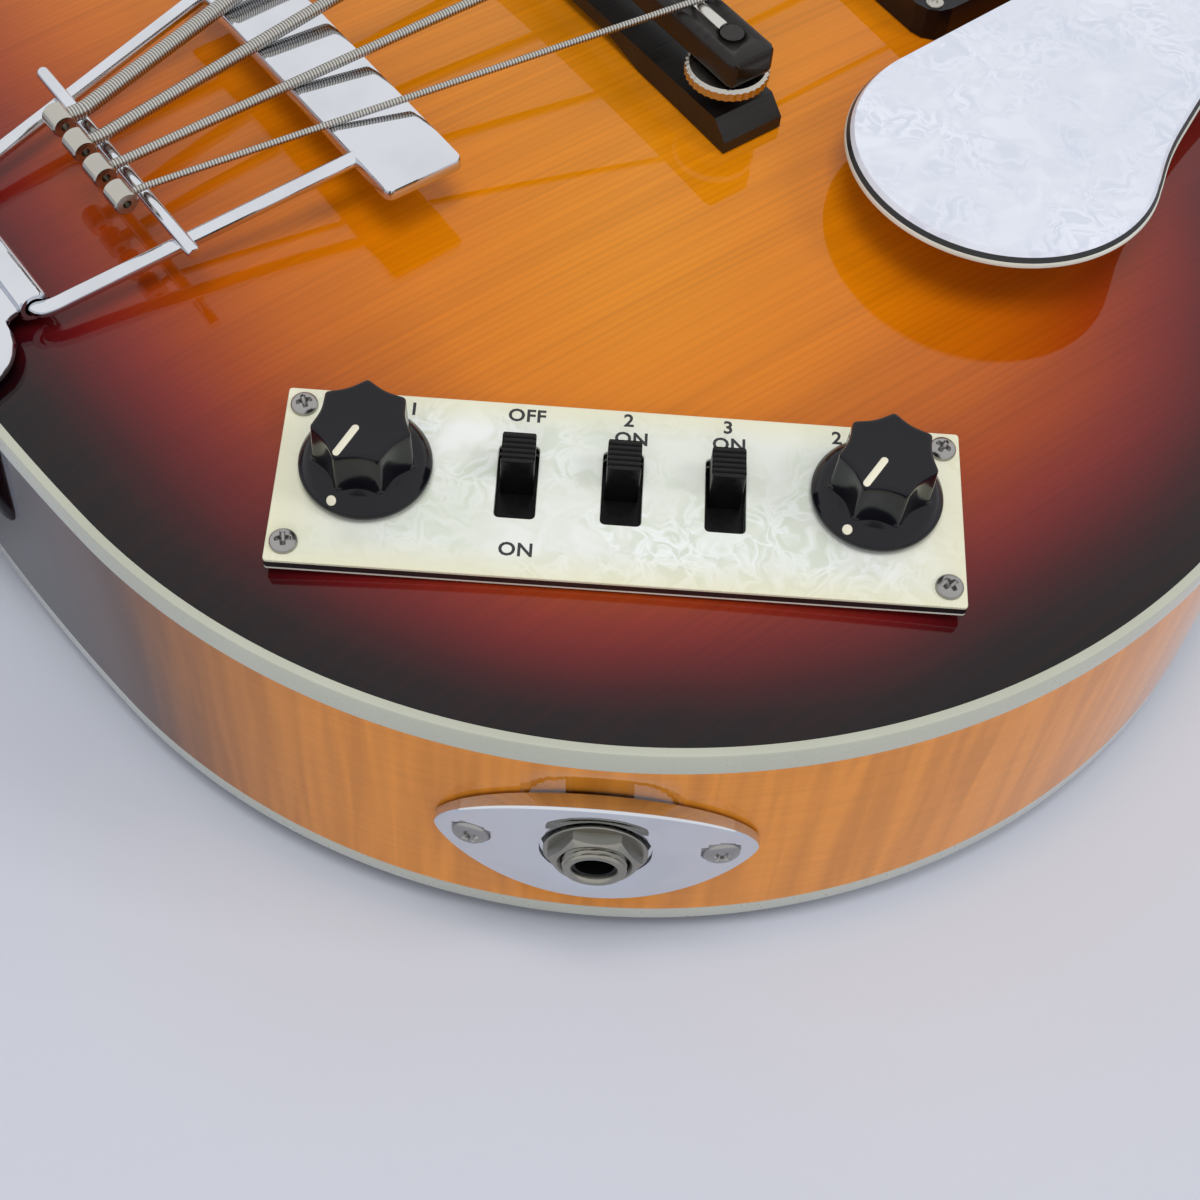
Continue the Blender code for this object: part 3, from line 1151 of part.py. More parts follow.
clear_scene()
NECK_FRAME = frame("neck_frame", (0, SCALE_LENGTH, BOARD_TOP_AT_NUT), (("X", -NECK_TILT),))
HEAD_FRAME = frame("head_frame", (0, NUT_DEPTH + GAP, -BOARD_THICKNESS - 1.6 * MM), (("X", -HEAD_TILT),),
                   NECK_FRAME)
PANEL_FRAME = frame("panel_frame", (*PANEL_CENTRE, PANEL_TOP_Z), (("X", PANEL_TILT), ("Z", PANEL_BEARING)))
JACK_FRAME = jack_frame()
bpy.context.view_layer.update()
build_body()
build_neck()
build_tuners()
build_bridge()
build_tailpiece()
build_pickups()
build_panel()
build_jack()
build_guard()
build_strings()
build_strap_buttons()
build_wiring()
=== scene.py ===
"""Looks of a violin-bodied electric bass guitar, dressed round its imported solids.

Lengths are in millimetres in this file and become metres when a mesh is made.
"""

import logging
import math
from dataclasses import dataclass
from enum import Enum
from typing import Callable, Optional, Sequence, Union

import bmesh
import bpy
import numpy as np
from mathutils import Matrix, Vector
from mathutils.geometry import tessellate_polygon


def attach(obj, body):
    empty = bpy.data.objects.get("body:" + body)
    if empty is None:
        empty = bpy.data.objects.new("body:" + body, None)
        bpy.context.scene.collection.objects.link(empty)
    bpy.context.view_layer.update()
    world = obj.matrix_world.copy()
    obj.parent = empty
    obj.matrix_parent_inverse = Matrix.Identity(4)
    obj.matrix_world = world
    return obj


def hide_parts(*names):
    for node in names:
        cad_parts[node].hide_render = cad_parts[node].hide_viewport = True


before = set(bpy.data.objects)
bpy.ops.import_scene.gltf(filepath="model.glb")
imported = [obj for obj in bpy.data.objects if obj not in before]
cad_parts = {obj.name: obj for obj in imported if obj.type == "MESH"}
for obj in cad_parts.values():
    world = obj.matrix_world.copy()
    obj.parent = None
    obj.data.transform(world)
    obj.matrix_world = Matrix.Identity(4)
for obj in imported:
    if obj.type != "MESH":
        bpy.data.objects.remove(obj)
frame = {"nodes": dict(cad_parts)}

LOG = logging.getLogger("violin_bass")
Array = np.ndarray
Colour = tuple[float, float, float, float]
MM = 0.001


# Frames and curves

@dataclass(frozen=True)
class Place:
    """A local frame: its origin and the directions of its axes."""

    origin: tuple[float, float, float] = (0.0, 0.0, 0.0)
    x: tuple[float, float, float] = (1.0, 0.0, 0.0)
    y: tuple[float, float, float] = (0.0, 1.0, 0.0)
    z: tuple[float, float, float] = (0.0, 0.0, 1.0)

    def carry(self, points: Array) -> Array:
        """Take local points to the row frame: the origin plus each coordinate along its axis."""
        return np.asarray(points, float) @ np.array([self.x, self.y, self.z]) + np.array(self.origin)

    def shifted(self, x: float, y: float, z: float = 0.0) -> "Place":
        """The same axes about another local point."""
        return Place(tuple(self.carry(np.array([x, y, z]))), self.x, self.y, self.z)

    def turned(self, angle: float) -> "Place":
        """The same frame turned about its own Z by an angle in radians."""
        x, y = np.array(self.x), np.array(self.y)
        c, s = math.cos(angle), math.sin(angle)
        return Place(self.origin, tuple(c * x + s * y), tuple(c * y - s * x), self.z)

    def matrix(self) -> Matrix:
        """The frame as a Blender matrix in metres."""
        turn = Matrix((self.x, self.y, self.z)).transposed().to_4x4()
        return Matrix.Translation(Vector(self.origin) * MM) @ turn


def tilted_place(origin: tuple[float, float, float], tilt: float, bearing: float) -> Place:
    """A frame tipped about X and then turned about Z.

    Args:
        origin: Where the frame stands.
        tilt: Turn about X in degrees.
        bearing: Turn about Z in degrees.

    Returns:
        The frame.
    """
    ct, st = math.cos(math.radians(tilt)), math.sin(math.radians(tilt))
    cb, sb = math.cos(math.radians(bearing)), math.sin(math.radians(bearing))
    return Place(origin, (cb, sb, 0.0), (-sb * ct, cb * ct, st), (sb * st, -cb * st, ct))


WORLD = Place()
PANEL = tilted_place((92.0, -61.5, 62.7), 4.3, 50.8)
NECK = tilted_place((0.0, 762.0, 55.0), -1.47, 0.0)
HEAD = Place(tuple(NECK.carry(np.array([0.0, 5.3, -7.1]))), *[getattr(tilted_place((0, 0, 0), -7.47, 0), a)
                                                             for a in "xyz"])
JACK_BEARING = math.radians(-40.2)
JACK_OUT = (math.cos(JACK_BEARING), math.sin(JACK_BEARING), 0.0)
JACK = Place((35.2 + 113.4 * JACK_OUT[0], -12.7 + 113.4 * JACK_OUT[1], 31.5),
             (-JACK_OUT[1], JACK_OUT[0], 0.0), (0.0, 0.0, 1.0), JACK_OUT)


def arc(centre: tuple[float, float], radius: float, start: float, end: float, count: int) -> Array:
    """Points along a plan arc, both ends included, at evenly spaced bearings in radians."""
    angle = np.linspace(start, end, count)
    return np.column_stack([centre[0] + radius * np.cos(angle), centre[1] + radius * np.sin(angle)])


def circle(radius: float, count: int, centre: tuple[float, float] = (0.0, 0.0)) -> Array:
    """Points round a circle in plan, the last one step short of the first."""
    return arc(centre, radius, 0.0, 2 * math.pi, count + 1)[:-1]


def rounded_rectangle(width: float, depth: float, radius: float, per_corner: int = 6) -> Array:
    """A rectangle about the origin whose corners are quarter circles."""
    corners = []
    for quarter, (sx, sy) in enumerate(((1, 1), (-1, 1), (-1, -1), (1, -1))):
        centre = (sx * (width / 2 - radius), sy * (depth / 2 - radius))
        corners.append(arc(centre, radius, quarter * math.pi / 2, (quarter + 1) * math.pi / 2, per_corner))
    return np.vstack(corners)


def at_height(plan: Array, z: Union[float, Array]) -> Array:
    """Plan points lifted to one height or to a height each."""
    return np.column_stack([plan, np.broadcast_to(z, len(plan))])


def smooth_path(points: Sequence[Sequence[float]], per_span: int, closed: bool = False) -> Array:
    """Catmull-Rom points: each span is a cubic through its two ends, led by their neighbours.

    Args:
        points: The points to pass through.
        per_span: Steps in each span.
        closed: Whether the path returns to its start.

    Returns:
        The path's points.
    """
    known = np.asarray(points, float)
    count = len(known)
    spans = count if closed else count - 1
    ids = np.arange(spans)[:, None] + np.array([-1, 0, 1, 2])
    ids = ids % count if closed else np.clip(ids, 0, count - 1)
    a, b, c, d = (known[ids[:, k]][:, None, :] for k in range(4))
    t = (np.arange(per_span) / per_span)[None, :, None]
    path = 0.5 * (2 * b + (c - a) * t + (2 * a - 5 * b + 4 * c - d) * t ** 2 + (3 * b - a - 3 * c + d) * t ** 3)
    path = path.reshape(-1, known.shape[1])
    return path if closed else np.vstack([path, known[-1:]])


def inward(plan: Array, distance: Union[float, Array]) -> Array:
    """An anticlockwise closed plan moved inwards: each point goes along the mean normal of its two edges."""
    edge = np.roll(plan, -1, axis=0) - plan
    normal = np.column_stack([-edge[:, 1], edge[:, 0]])
    normal /= np.maximum(np.linalg.norm(normal, axis=1, keepdims=True), 1e-9)
    mean = normal + np.roll(normal, 1, axis=0)
    mean /= np.maximum((mean * normal).sum(1, keepdims=True), 0.4)
    return plan + mean * np.reshape(distance, (-1, 1))


# Surfaces and meshes

@dataclass
class Skin:
    """A grid of points (rows, columns, xyz) that closes into one surface.

    Rows or columns may join last to first. Open rows get a flat cap at each end unless capped is off,
    and bands gives a material index for each step between rows.
    """

    grid: Array
    ring_rows: bool = False
    ring_columns: bool = True
    capped: bool = True
    bands: Optional[Sequence[int]] = None

    def quads(self) -> tuple[Array, Array, Array]:
        """Corners, UV in metres along the grid, and row of every quad.

        Returns:
            Point numbers (k, 4), UV (k, 4, 2) and the row that each quad starts from.
        """
        rows, columns = self.grid.shape[:2]
        i = np.arange(rows if self.ring_rows else rows - 1)[:, None]
        j = np.arange(columns if self.ring_columns else columns - 1)[None, :]
        i, j = np.broadcast_arrays(i, j)
        i, j = i.ravel(), j.ravel()
        far_i, far_j = (i + 1) % rows, (j + 1) % columns
        corners = np.column_stack([i * columns + j, i * columns + far_j, far_i * columns + far_j,
                                   far_i * columns + j])
        along_rows = self._lengths(self.grid[:, columns // 3])
        along_columns = self._lengths(self.grid[rows // 2])
        u = np.column_stack([along_columns[j], along_columns[j + 1], along_columns[j + 1], along_columns[j]])
        v = np.column_stack([along_rows[i], along_rows[i], along_rows[i + 1], along_rows[i + 1]])
        return corners, np.stack([u, v], axis=2) * MM, i

    @staticmethod
    def _lengths(line: Array) -> Array:
        """Distance along a line of points, and on to its start again."""
        steps = np.linalg.norm(np.roll(line, -1, axis=0) - line, axis=1)
        return np.concatenate([[0.0], np.cumsum(steps)])


def make_piece(name: str, skins: Sequence[Skin], finishes: Sequence["Finish"], place: Place = WORLD,
               crease: float = 32.0) -> bpy.types.Object:
    """Turn grids into one mesh object at the origin, with outward faces and closed seams.

    Args:
        name: Name of the piece.
        skins: Its grids, in the local frame.
        finishes: Its finishes, in the order of the bands.
        place: The local frame.
        crease: Edges sharper than this many degrees stay sharp.

    Returns:
        The object.
    """
    points, faces, corner_uv, bands = [], [], [], []
    start = 0
    for skin in skins:
        corners, uv, row = skin.quads()
        columns = skin.grid.shape[1]
        points.append(place.carry(skin.grid.reshape(-1, 3)) * MM)
        faces += (corners + start).tolist()
        corner_uv.append(uv.reshape(-1, 2))
        bands.append(np.asarray(skin.bands)[row] if skin.bands is not None else np.zeros(len(row), int))
        if skin.capped and not skin.ring_rows:
            last = start + (skin.grid.shape[0] - 1) * columns
            faces += [list(range(start + columns - 1, start - 1, -1)), list(range(last, last + columns))]
            corner_uv.append(np.zeros((2 * columns, 2)))
            ends = (skin.bands[0], skin.bands[-1]) if skin.bands is not None else (0, 0)
            bands.append(np.array(ends, int))
        start += skin.grid.shape[0] * columns
    mesh = bpy.data.meshes.new(name)
    mesh.from_pydata(np.vstack(points).tolist(), [], faces)
    mesh.uv_layers.new(name="UVMap").data.foreach_set("uv", np.vstack(corner_uv).ravel())
    mesh.polygons.foreach_set("material_index", np.concatenate(bands).astype(np.int32))
    return finish_mesh(name, mesh, finishes, crease)


def finish_mesh(name: str, mesh: bpy.types.Mesh, finishes: Sequence["Finish"],
                crease: float) -> bpy.types.Object:
    """Merge doubles, turn faces outwards, smooth, and link the object.

    Args:
        name: Name of the piece.
        mesh: Its mesh, in the row frame and in metres.
        finishes: Its finishes.
        crease: Edges sharper than this many degrees stay sharp.

    Returns:
        The object.
    """
    bm = bmesh.new()
    bm.from_mesh(mesh)
    bmesh.ops.remove_doubles(bm, verts=bm.verts, dist=1e-7)
    bmesh.ops.recalc_face_normals(bm, faces=bm.faces)
    bm.to_mesh(mesh)
    bm.free()
    for kind in finishes:
        mesh.materials.append(kind.material())
    mesh.shade_smooth()
    mesh.set_sharp_from_angle(angle=math.radians(crease))
    piece = bpy.data.objects.new(name, mesh)
    bpy.context.scene.collection.objects.link(piece)
    return piece


def settled(piece: bpy.types.Object) -> bpy.types.Object:
    """Apply a piece's modifiers to its mesh."""
    bpy.context.view_layer.update()
    seen = piece.evaluated_get(bpy.context.evaluated_depsgraph_get())
    mesh = bpy.data.meshes.new_from_object(seen)
    piece.modifiers.clear()
    piece.data = mesh
    return piece


def cut(piece: bpy.types.Object, cutters: Sequence[bpy.types.Object]) -> bpy.types.Object:
    """Take the cutters' room out of a piece and remove the cutters."""
    for cutter in cutters:
        change = piece.modifiers.new(cutter.name, "BOOLEAN")
        change.operation = "DIFFERENCE"
        change.solver = "EXACT"
        change.object = cutter
    settled(piece)
    for cutter in cutters:
        bpy.data.objects.remove(cutter, do_unlink=True)
    return piece


def lathe(profile: Sequence[Sequence[float]], count: int = 48, ring: bool = False) -> Skin:
    """A profile of (radius, height) turned about Z: each row is the profile at one bearing."""
    line = np.asarray(profile, float)
    angle = np.linspace(0, 2 * math.pi, count, endpoint=False)[:, None]
    grid = np.stack([line[:, 0] * np.cos(angle), line[:, 0] * np.sin(angle),
                     np.broadcast_to(line[:, 1], (count, len(line)))], axis=2)
    return Skin(grid, ring_rows=True, ring_columns=ring)


def stacked(plans: Sequence[Array], heights: Sequence[Union[float, Array]],
            bands: Optional[Sequence[int]] = None) -> Skin:
    """Closed plans of equal length, one above the other."""
    return Skin(np.stack([at_height(plan, z) for plan, z in zip(plans, heights)]), bands=bands)


def tube(path: Array, radius: Union[float, Array], sides: int = 16, up: tuple = (0.0, 0.0, 1.0)) -> Skin:
    """A round rod: at each path point a circle across the mean heading, kept upright by a fixed up direction.

    Args:
        path: Points of the centre line.
        radius: One radius, or one at each point.
        sides: Points round the rod.
        up: A direction that the path never runs along.

    Returns:
        The closed surface.
    """
    heading = np.gradient(path, axis=0)
    heading /= np.linalg.norm(heading, axis=1, keepdims=True)
    side = np.cross(heading, np.array(up))
    side /= np.linalg.norm(side, axis=1, keepdims=True)
    top = np.cross(side, heading)
    angle = np.linspace(0, 2 * math.pi, sides, endpoint=False)[None, :, None]
    reach = np.broadcast_to(np.reshape(radius, (-1, 1, 1)), (len(path), 1, 1))
    return Skin(path[:, None, :] + reach * (np.cos(angle) * side[:, None, :] + np.sin(angle) * top[:, None, :]))


# Finishes

def shade(red: int, green: int, blue: int) -> Colour:
    """A colour given as it looks on a screen, 0 to 255, as Blender's linear values."""
    parts = [(c / 12.92 if c <= 0.04045 else ((c + 0.055) / 1.055) ** 2.4) for c in
             (red / 255, green / 255, blue / 255)]
    return (*parts, 1.0)


class Graph:
    """The node network of one material, with short calls for its nodes."""

    def __init__(self, name: str) -> None:
        """Start from a plain Principled material."""
        self.material = bpy.data.materials.new(name)
        self.material.use_nodes = True
        self.tree = self.material.node_tree
        self.shader = self.tree.nodes["Principled BSDF"]

    def feed(self, socket: bpy.types.NodeSocket, value: object) -> None:
        """Link another socket to this one, or set its constant."""
        if isinstance(value, bpy.types.NodeSocket):
            self.tree.links.new(value, socket)
        else:
            socket.default_value = value

    def node(self, kind: str, feeds: dict, **settings: object) -> bpy.types.Node:
        """Add a node with its settings and its inputs."""
        made = self.tree.nodes.new("ShaderNode" + kind)
        for key, value in settings.items():
            setattr(made, key, value)
        for key, value in feeds.items():
            self.feed(made.inputs[key], value)
        return made

    def surface(self, feeds: dict) -> None:
        """Set or link inputs of the Principled shader."""
        for key, value in feeds.items():
            self.feed(self.shader.inputs[key], value)

    def spot(self, scale: tuple[float, float, float] = (1, 1, 1), place: Optional[Place] = None,
             uv: bool = False) -> bpy.types.NodeSocket:
        """Object coordinates in metres, or the UV map, first taken into a local frame and then scaled."""
        source = self.node("TexCoord", {}).outputs["UV" if uv else "Object"]
        if place:
            turn = place.matrix()
            source = self.node("Mapping", {"Vector": source, "Location": turn.to_translation(),
                                           "Rotation": turn.to_euler()}, vector_type="TEXTURE").outputs[0]
        if scale != (1, 1, 1):
            source = self.node("Mapping", {"Vector": source, "Scale": scale}).outputs[0]
        return source

    def noise(self, spot: bpy.types.NodeSocket, scale: float, detail: float = 3.0,
              distortion: float = 0.0) -> bpy.types.NodeSocket:
        """Fractal noise between 0 and 1."""
        return self.node("TexNoise", {"Vector": spot, "Scale": scale, "Detail": detail,
                                      "Distortion": distortion}).outputs["Fac"]

    def math(self, operation: str, first: object, second: object = 0.0) -> bpy.types.NodeSocket:
        """One sum of two numbers."""
        return self.node("Math", {0: first, 1: second}, operation=operation).outputs[0]

    def span(self, value: object, low: float, high: float, to_low: float = 0.0,
             to_high: float = 1.0) -> bpy.types.NodeSocket:
        """Rescale a number from one range to another, held at the ends."""
        return self.node("MapRange", {"Value": value, "From Min": low, "From Max": high, "To Min": to_low,
                                      "To Max": to_high}).outputs[0]

    def ramp(self, value: object, stops: Sequence[tuple[float, Colour]]) -> bpy.types.NodeSocket:
        """A colour that changes smoothly through the stops."""
        made = self.node("ValToRGB", {"Fac": value})
        band = made.color_ramp.elements
        for number, (position, colour) in enumerate(stops):
            stop = band[number] if number < 2 else band.new(position)
            stop.position = position
            stop.color = colour
        return made.outputs["Color"]

    def mix(self, share: object, first: object, second: object, blend: str = "MIX") -> bpy.types.NodeSocket:
        """Two colours mixed by a share."""
        made = self.node("Mix", {}, data_type="RGBA", blend_type=blend)
        for socket, value in zip((made.inputs[0], made.inputs[6], made.inputs[7]), (share, first, second)):
            self.feed(socket, value)
        return made.outputs[2]

    def bump(self, height: object, strength: float, distance: float) -> bpy.types.NodeSocket:
        """A surface normal raised by a height; the distance is in millimetres."""
        return self.node("Bump", {"Height": height, "Strength": strength,
                                  "Distance": distance * MM}).outputs[0]


@dataclass(frozen=True)
class Finish:
    """A finish that makes its material the first time it is asked for."""

    name: str

    def paint(self, graph: Graph) -> None:
        """Build the node network."""
        raise NotImplementedError

    def material(self) -> bpy.types.Material:
        """The finish's material."""
        if self not in MADE:
            graph = Graph(self.name)
            self.paint(graph)
            MADE[self] = graph.material
        return MADE[self]


MADE: dict[Finish, bpy.types.Material] = {}


@dataclass(frozen=True)
class Lacquer(Finish):
    """Gloss lacquer over wood that darkens towards an edge; the distance in mm is the piece's attribute."""

    stops: tuple[tuple[float, Colour], ...] = ()
    grain: tuple[float, float, float] = (620.0, 9.0, 90.0)
    grain_depth: float = 0.10
    growth: float = 0.0
    flame: tuple[float, float, float] = (0.0, 0.0, 0.0)
    flame_depth: float = 0.0
    by_uv: bool = False
    reach: float = 100.0
    coat_ior: float = 1.38

    def paint(self, graph: Graph) -> None:
        """Fade by distance, times growth lines, fine grain and flame, under a clear coat."""
        distance = graph.node("Attribute", {}, attribute_name="edge_distance").outputs["Fac"]
        wander = graph.noise(graph.spot(), 14.0, 2.0)
        distance = graph.math("ADD", distance, graph.span(wander, 0.3, 0.7, -2.0, 2.0))
        colour = graph.ramp(graph.math("DIVIDE", distance, self.reach), self.stops)
        fibre = graph.noise(graph.spot(self.grain, uv=self.by_uv), 1.0, 3.0, 0.3)
        colour = graph.mix(graph.span(fibre, 0.42, 0.62, 0.0, self.grain_depth), colour, shade(70, 22, 4))
        if self.growth:
            sway = graph.noise(graph.spot((60.0, 5.0, 60.0)), 1.0, 2.0)
            across = graph.node("SeparateXYZ", {"Vector": graph.spot()}).outputs["X"]
            phase = graph.math("MULTIPLY", graph.math("ADD", across, graph.math("MULTIPLY", sway, 0.006)),
                               2 * math.pi / (1.25 * MM))
            line = graph.span(graph.math("SINE", phase), 0.1, 1.0, 0.0, self.growth)
            patchy = graph.span(graph.noise(graph.spot((90.0, 22.0, 90.0)), 1.0, 2.0), 0.35, 0.65, 0.35, 1.0)
            colour = graph.mix(graph.math("MULTIPLY", line, patchy), colour, shade(120, 44, 6), "MULTIPLY")
        if self.flame_depth:
            wave = graph.noise(graph.spot(self.flame, uv=self.by_uv), 1.0, 1.5, 0.6)
            colour = graph.mix(graph.span(wave, 0.35, 0.65, 0.0, self.flame_depth), colour, shade(96, 44, 8),
                               "MULTIPLY")
        graph.surface({"Base Color": colour, "Roughness": 0.5, "Specular IOR Level": 0.0, "Coat Weight": 1.0,
                       "Coat Roughness": 0.02, "Coat IOR": self.coat_ior})


@dataclass(frozen=True)
class Plastic(Finish):
    """Moulded or cut plastic with faint mottling, dust and wear."""

    colour: Colour = (0.5, 0.5, 0.5, 1.0)
    tint: Colour = (0.4, 0.4, 0.4, 1.0)
    roughness: float = 0.25
    mottle: float = 40.0
    coat: float = 0.0
    gloss: float = 0.5
    texture: float = 0.0

    def paint(self, graph: Graph) -> None:
        """Two close colours mixed by noise, and roughness that varies a little."""
        patches = graph.noise(graph.spot(), self.mottle, 4.0)
        wear = graph.noise(graph.spot(), self.mottle * 18, 3.0)
        colour = graph.mix(graph.span(patches, 0.35, 0.7), self.colour, self.tint)
        graph.surface({"Base Color": colour, "Coat Weight": self.coat, "Coat Roughness": 0.03,
                       "Coat IOR": 1.4,
                       "Specular IOR Level": self.gloss,
                       "Roughness": graph.span(wear, 0.3, 0.7, self.roughness * 0.85, self.roughness * 1.25)})
        if self.texture:
            graph.surface({"Normal": graph.bump(wear, self.texture, 0.02)})


@dataclass(frozen=True)
class Pearl(Finish):
    """Marbled pearl plastic: curled flakes of white in cream, yellower towards a panel's edges."""

    base: Colour = shade(222, 224, 212)
    flake: Colour = shade(238, 240, 236)
    shadow: Colour = shade(211, 216, 200)
    place: Place = WORLD
    half: tuple[float, float] = (0.0, 0.0)

    def paint(self, graph: Graph) -> None:
        """Thin curled streaks where warped noise crosses its middle, gathered into clouds."""
        spot = graph.spot(place=self.place)
        drift = graph.node("TexNoise", {"Vector": spot, "Scale": 120.0, "Detail": 2.0}).outputs["Color"]
        warped = graph.node("VectorMath", {0: drift, 1: (0.008, 0.008, 0.008)},
                            operation="MULTIPLY").outputs[0]
        warped = graph.node("VectorMath", {0: spot, 1: warped}, operation="ADD").outputs[0]
        veins = graph.math("ABSOLUTE", graph.math("SUBTRACT", graph.noise(warped, 260.0, 3.0, 1.0), 0.5))
        clouds = graph.noise(warped, 110.0, 2.0, 0.6)
        broad = graph.noise(spot, 34.0, 2.0)
        colour = graph.mix(graph.span(clouds, 0.42, 0.66), self.base, self.shadow)
        streak = graph.math("MULTIPLY", graph.span(veins, 0.0, 0.12, 1.0, 0.0),
                            graph.span(clouds, 0.36, 0.56))
        bright = graph.math("MAXIMUM", streak, graph.span(clouds, 0.34, 0.44, 0.75, 0.0))
        colour = graph.mix(graph.math("MULTIPLY", bright, graph.span(broad, 0.36, 0.6, 0.2, 1.0)), colour,
                           self.flake)
        if self.half[0]:
            axes = graph.node("SeparateXYZ", {"Vector": spot})
            rims = [graph.span(graph.math("ABSOLUTE", axes.outputs[k]), self.half[k] * MM - reach,
                               self.half[k] * MM, 0.0, 0.75) for k, reach in ((0, 0.012), (1, 0.005))]
            colour = graph.mix(graph.math("MAXIMUM", *rims), colour, shade(226, 220, 184))
        graph.surface({"Base Color": colour, "Roughness": 0.24, "Coat Weight": 0.5, "Coat Roughness": 0.06,
                       "Specular IOR Level": 0.35})


@dataclass(frozen=True)
class Plate(Finish):
    """Plated or bare metal with fine scratches and smudges."""

    colour: Colour = (0.8, 0.8, 0.8, 1.0)
    roughness: float = 0.06
    smudge: float = 0.06
    scratches: float = 0.03
    brushed: tuple[float, float, float] = (220.0, 220.0, 220.0)

    def paint(self, graph: Graph) -> None:
        """Roughness rises in smudges, and a stretched noise gives the scratches."""
        smudges = graph.noise(graph.spot(), 90.0, 4.0)
        lines = graph.noise(graph.spot(self.brushed), 9.0, 2.0)
        dull = graph.mix(graph.span(smudges, 0.45, 0.8, 0.0, 0.35), self.colour,
                         tuple(0.7 * c for c in self.colour[:3]) + (1.0,))
        graph.surface({"Base Color": dull, "Metallic": 1.0,
                       "Roughness": graph.span(smudges, 0.35, 0.75, self.roughness,
                                               self.roughness + self.smudge),
                       "Normal": graph.bump(lines, self.scratches, 0.02)})


@dataclass(frozen=True)
class Timber(Finish):
    """Bare or oiled dark wood with open pores along the strings."""

    colour: Colour = shade(60, 36, 26)
    pore: Colour = shade(24, 14, 12)
    roughness: float = 0.5

    def paint(self, graph: Graph) -> None:
        """Long noise for colour bands and a finer, longer noise for the pores."""
        bands = graph.noise(graph.spot((160.0, 6.0, 160.0)), 1.0, 3.0, 0.4)
        pores = graph.noise(graph.spot((1500.0, 60.0, 1500.0)), 1.0, 2.0)
        colour = graph.mix(graph.span(bands, 0.35, 0.65), self.colour, tuple(0.55 * c for c in self.colour))
        colour = graph.mix(graph.span(pores, 0.56, 0.66), colour, self.pore)
        graph.surface({"Base Color": colour, "Roughness": self.roughness, "Specular IOR Level": 0.35,
                       "Normal": graph.bump(graph.span(pores, 0.56, 0.66, 1.0, 0.0), 0.25, 0.06)})


@dataclass(frozen=True)
class WoundWire(Finish):
    """Steel wire wound round a core: fine ridges along the string's length."""

    pitch: float = 0.5

    def paint(self, graph: Graph) -> None:
        """A wave along the string's own length gives the ridges, and the same wave paints shade into the grooves:
        the colour is darker where the wave is low.
        """
        wave = graph.node("TexWave",
                          {"Vector": graph.spot(uv=True), "Scale": math.pi / (10 * self.pitch * MM),
                                      "Distortion": 0.0}, wave_type="BANDS", bands_direction="Y").outputs["Fac"]
        # painted shade: the base colour runs from pale steel on the ridges to dark grey in the grooves between
        # the windings
        graph.surface({"Base Color": graph.mix(wave, shade(112, 108, 102), shade(205, 203, 198)),
                       "Metallic": 1.0, "Roughness": 0.3, "Normal": graph.bump(wave, 0.6, 0.15)})


AMBER_STOPS = ((0.015, shade(3, 3, 6)), (0.06, shade(26, 7, 12)), (0.10, shade(60, 8, 15)),
               (0.15, shade(100, 20, 22)), (0.20, shade(128, 37, 25)), (0.27, shade(158, 62, 8)),
               (0.36, shade(190, 94, 5)), (0.50, shade(214, 119, 4)), (0.75, shade(220, 131, 9)),
               (1.0, shade(222, 135, 18)))
SIDE_STOPS = ((0.0, shade(24, 16, 20)), (0.30, shade(36, 24, 28)), (0.55, shade(92, 56, 40)),
              (0.8, shade(204, 128, 50)), (1.0, shade(230, 144, 48)))

TOP_FINISH = Lacquer("sunburst_top", AMBER_STOPS, growth=0.11)
BACK_FINISH = Lacquer("sunburst_back", AMBER_STOPS, flame=(14.0, 150.0, 60.0), flame_depth=0.4)
SIDE_FINISH = Lacquer("flamed_side", SIDE_STOPS, grain=(40.0, 900.0, 900.0), grain_depth=0.06,
                      flame=(330.0, 18.0, 18.0), flame_depth=0.22, by_uv=True, coat_ior=1.3)
NECK_FINISH = Lacquer("brown_neck", ((0.0, shade(104, 50, 22)), (1.0, shade(104, 50, 22))),
                      flame=(30.0, 130.0, 60.0), flame_depth=0.25)
CREAM = Plastic("cream_binding", shade(184, 185, 168), shade(172, 174, 156), 0.3, 30.0, 1.0)
PANEL_PEARL = Pearl("panel_pearl", place=PANEL, half=(49.0, 14.75))
GUARD_PEARL = Pearl("guard_pearl", base=shade(214, 218, 228), flake=shade(229, 232, 241),
                    shadow=shade(207, 211, 224))
BLACK_PLY = Plastic("black_ply", shade(14, 15, 17), shade(26, 26, 28), 0.4)
WHITE_PLY = Plastic("white_ply", shade(226, 225, 212), shade(205, 203, 190), 0.45)
BLACK_GLOSS = Plastic("black_gloss", shade(9, 9, 15), shade(15, 15, 22), 0.12, 30.0, gloss=0.3)
BLACK_SATIN = Plastic("black_satin", shade(8, 8, 9), shade(13, 13, 14), 0.35, 60.0, gloss=0.3, texture=0.1)
CREAM_INLAY = Plastic("cream_inlay", shade(236, 230, 206), shade(214, 208, 186), 0.4)
IVORY = Plastic("nut_ivory", shade(224, 216, 190), shade(206, 196, 168), 0.4)
INK = Plastic("black_ink", shade(28, 28, 30), shade(44, 44, 46), 0.5)
CHROME = Plate("chrome_plate", shade(212, 215, 221), 0.03, 0.05, 0.02)
NICKEL = Plate("nickel_plate", shade(184, 181, 173), 0.16, 0.14, 0.06)
WORN_NICKEL = Plate("worn_nickel", shade(150, 148, 139), 0.26, 0.16, 0.08)
SCREW_METAL = Plate("screw_steel", shade(158, 156, 154), 0.2, 0.15, 0.06)
STEEL = Plate("plain_steel", shade(180, 180, 178), 0.28, 0.12, 0.08)
FRET_METAL = Plate("fret_metal", shade(206, 204, 198), 0.12, 0.1, 0.04)
ROSEWOOD = Timber("rosewood_board")
EBONY = Timber("ebony_block", shade(26, 22, 20), shade(12, 10, 9), 0.38)
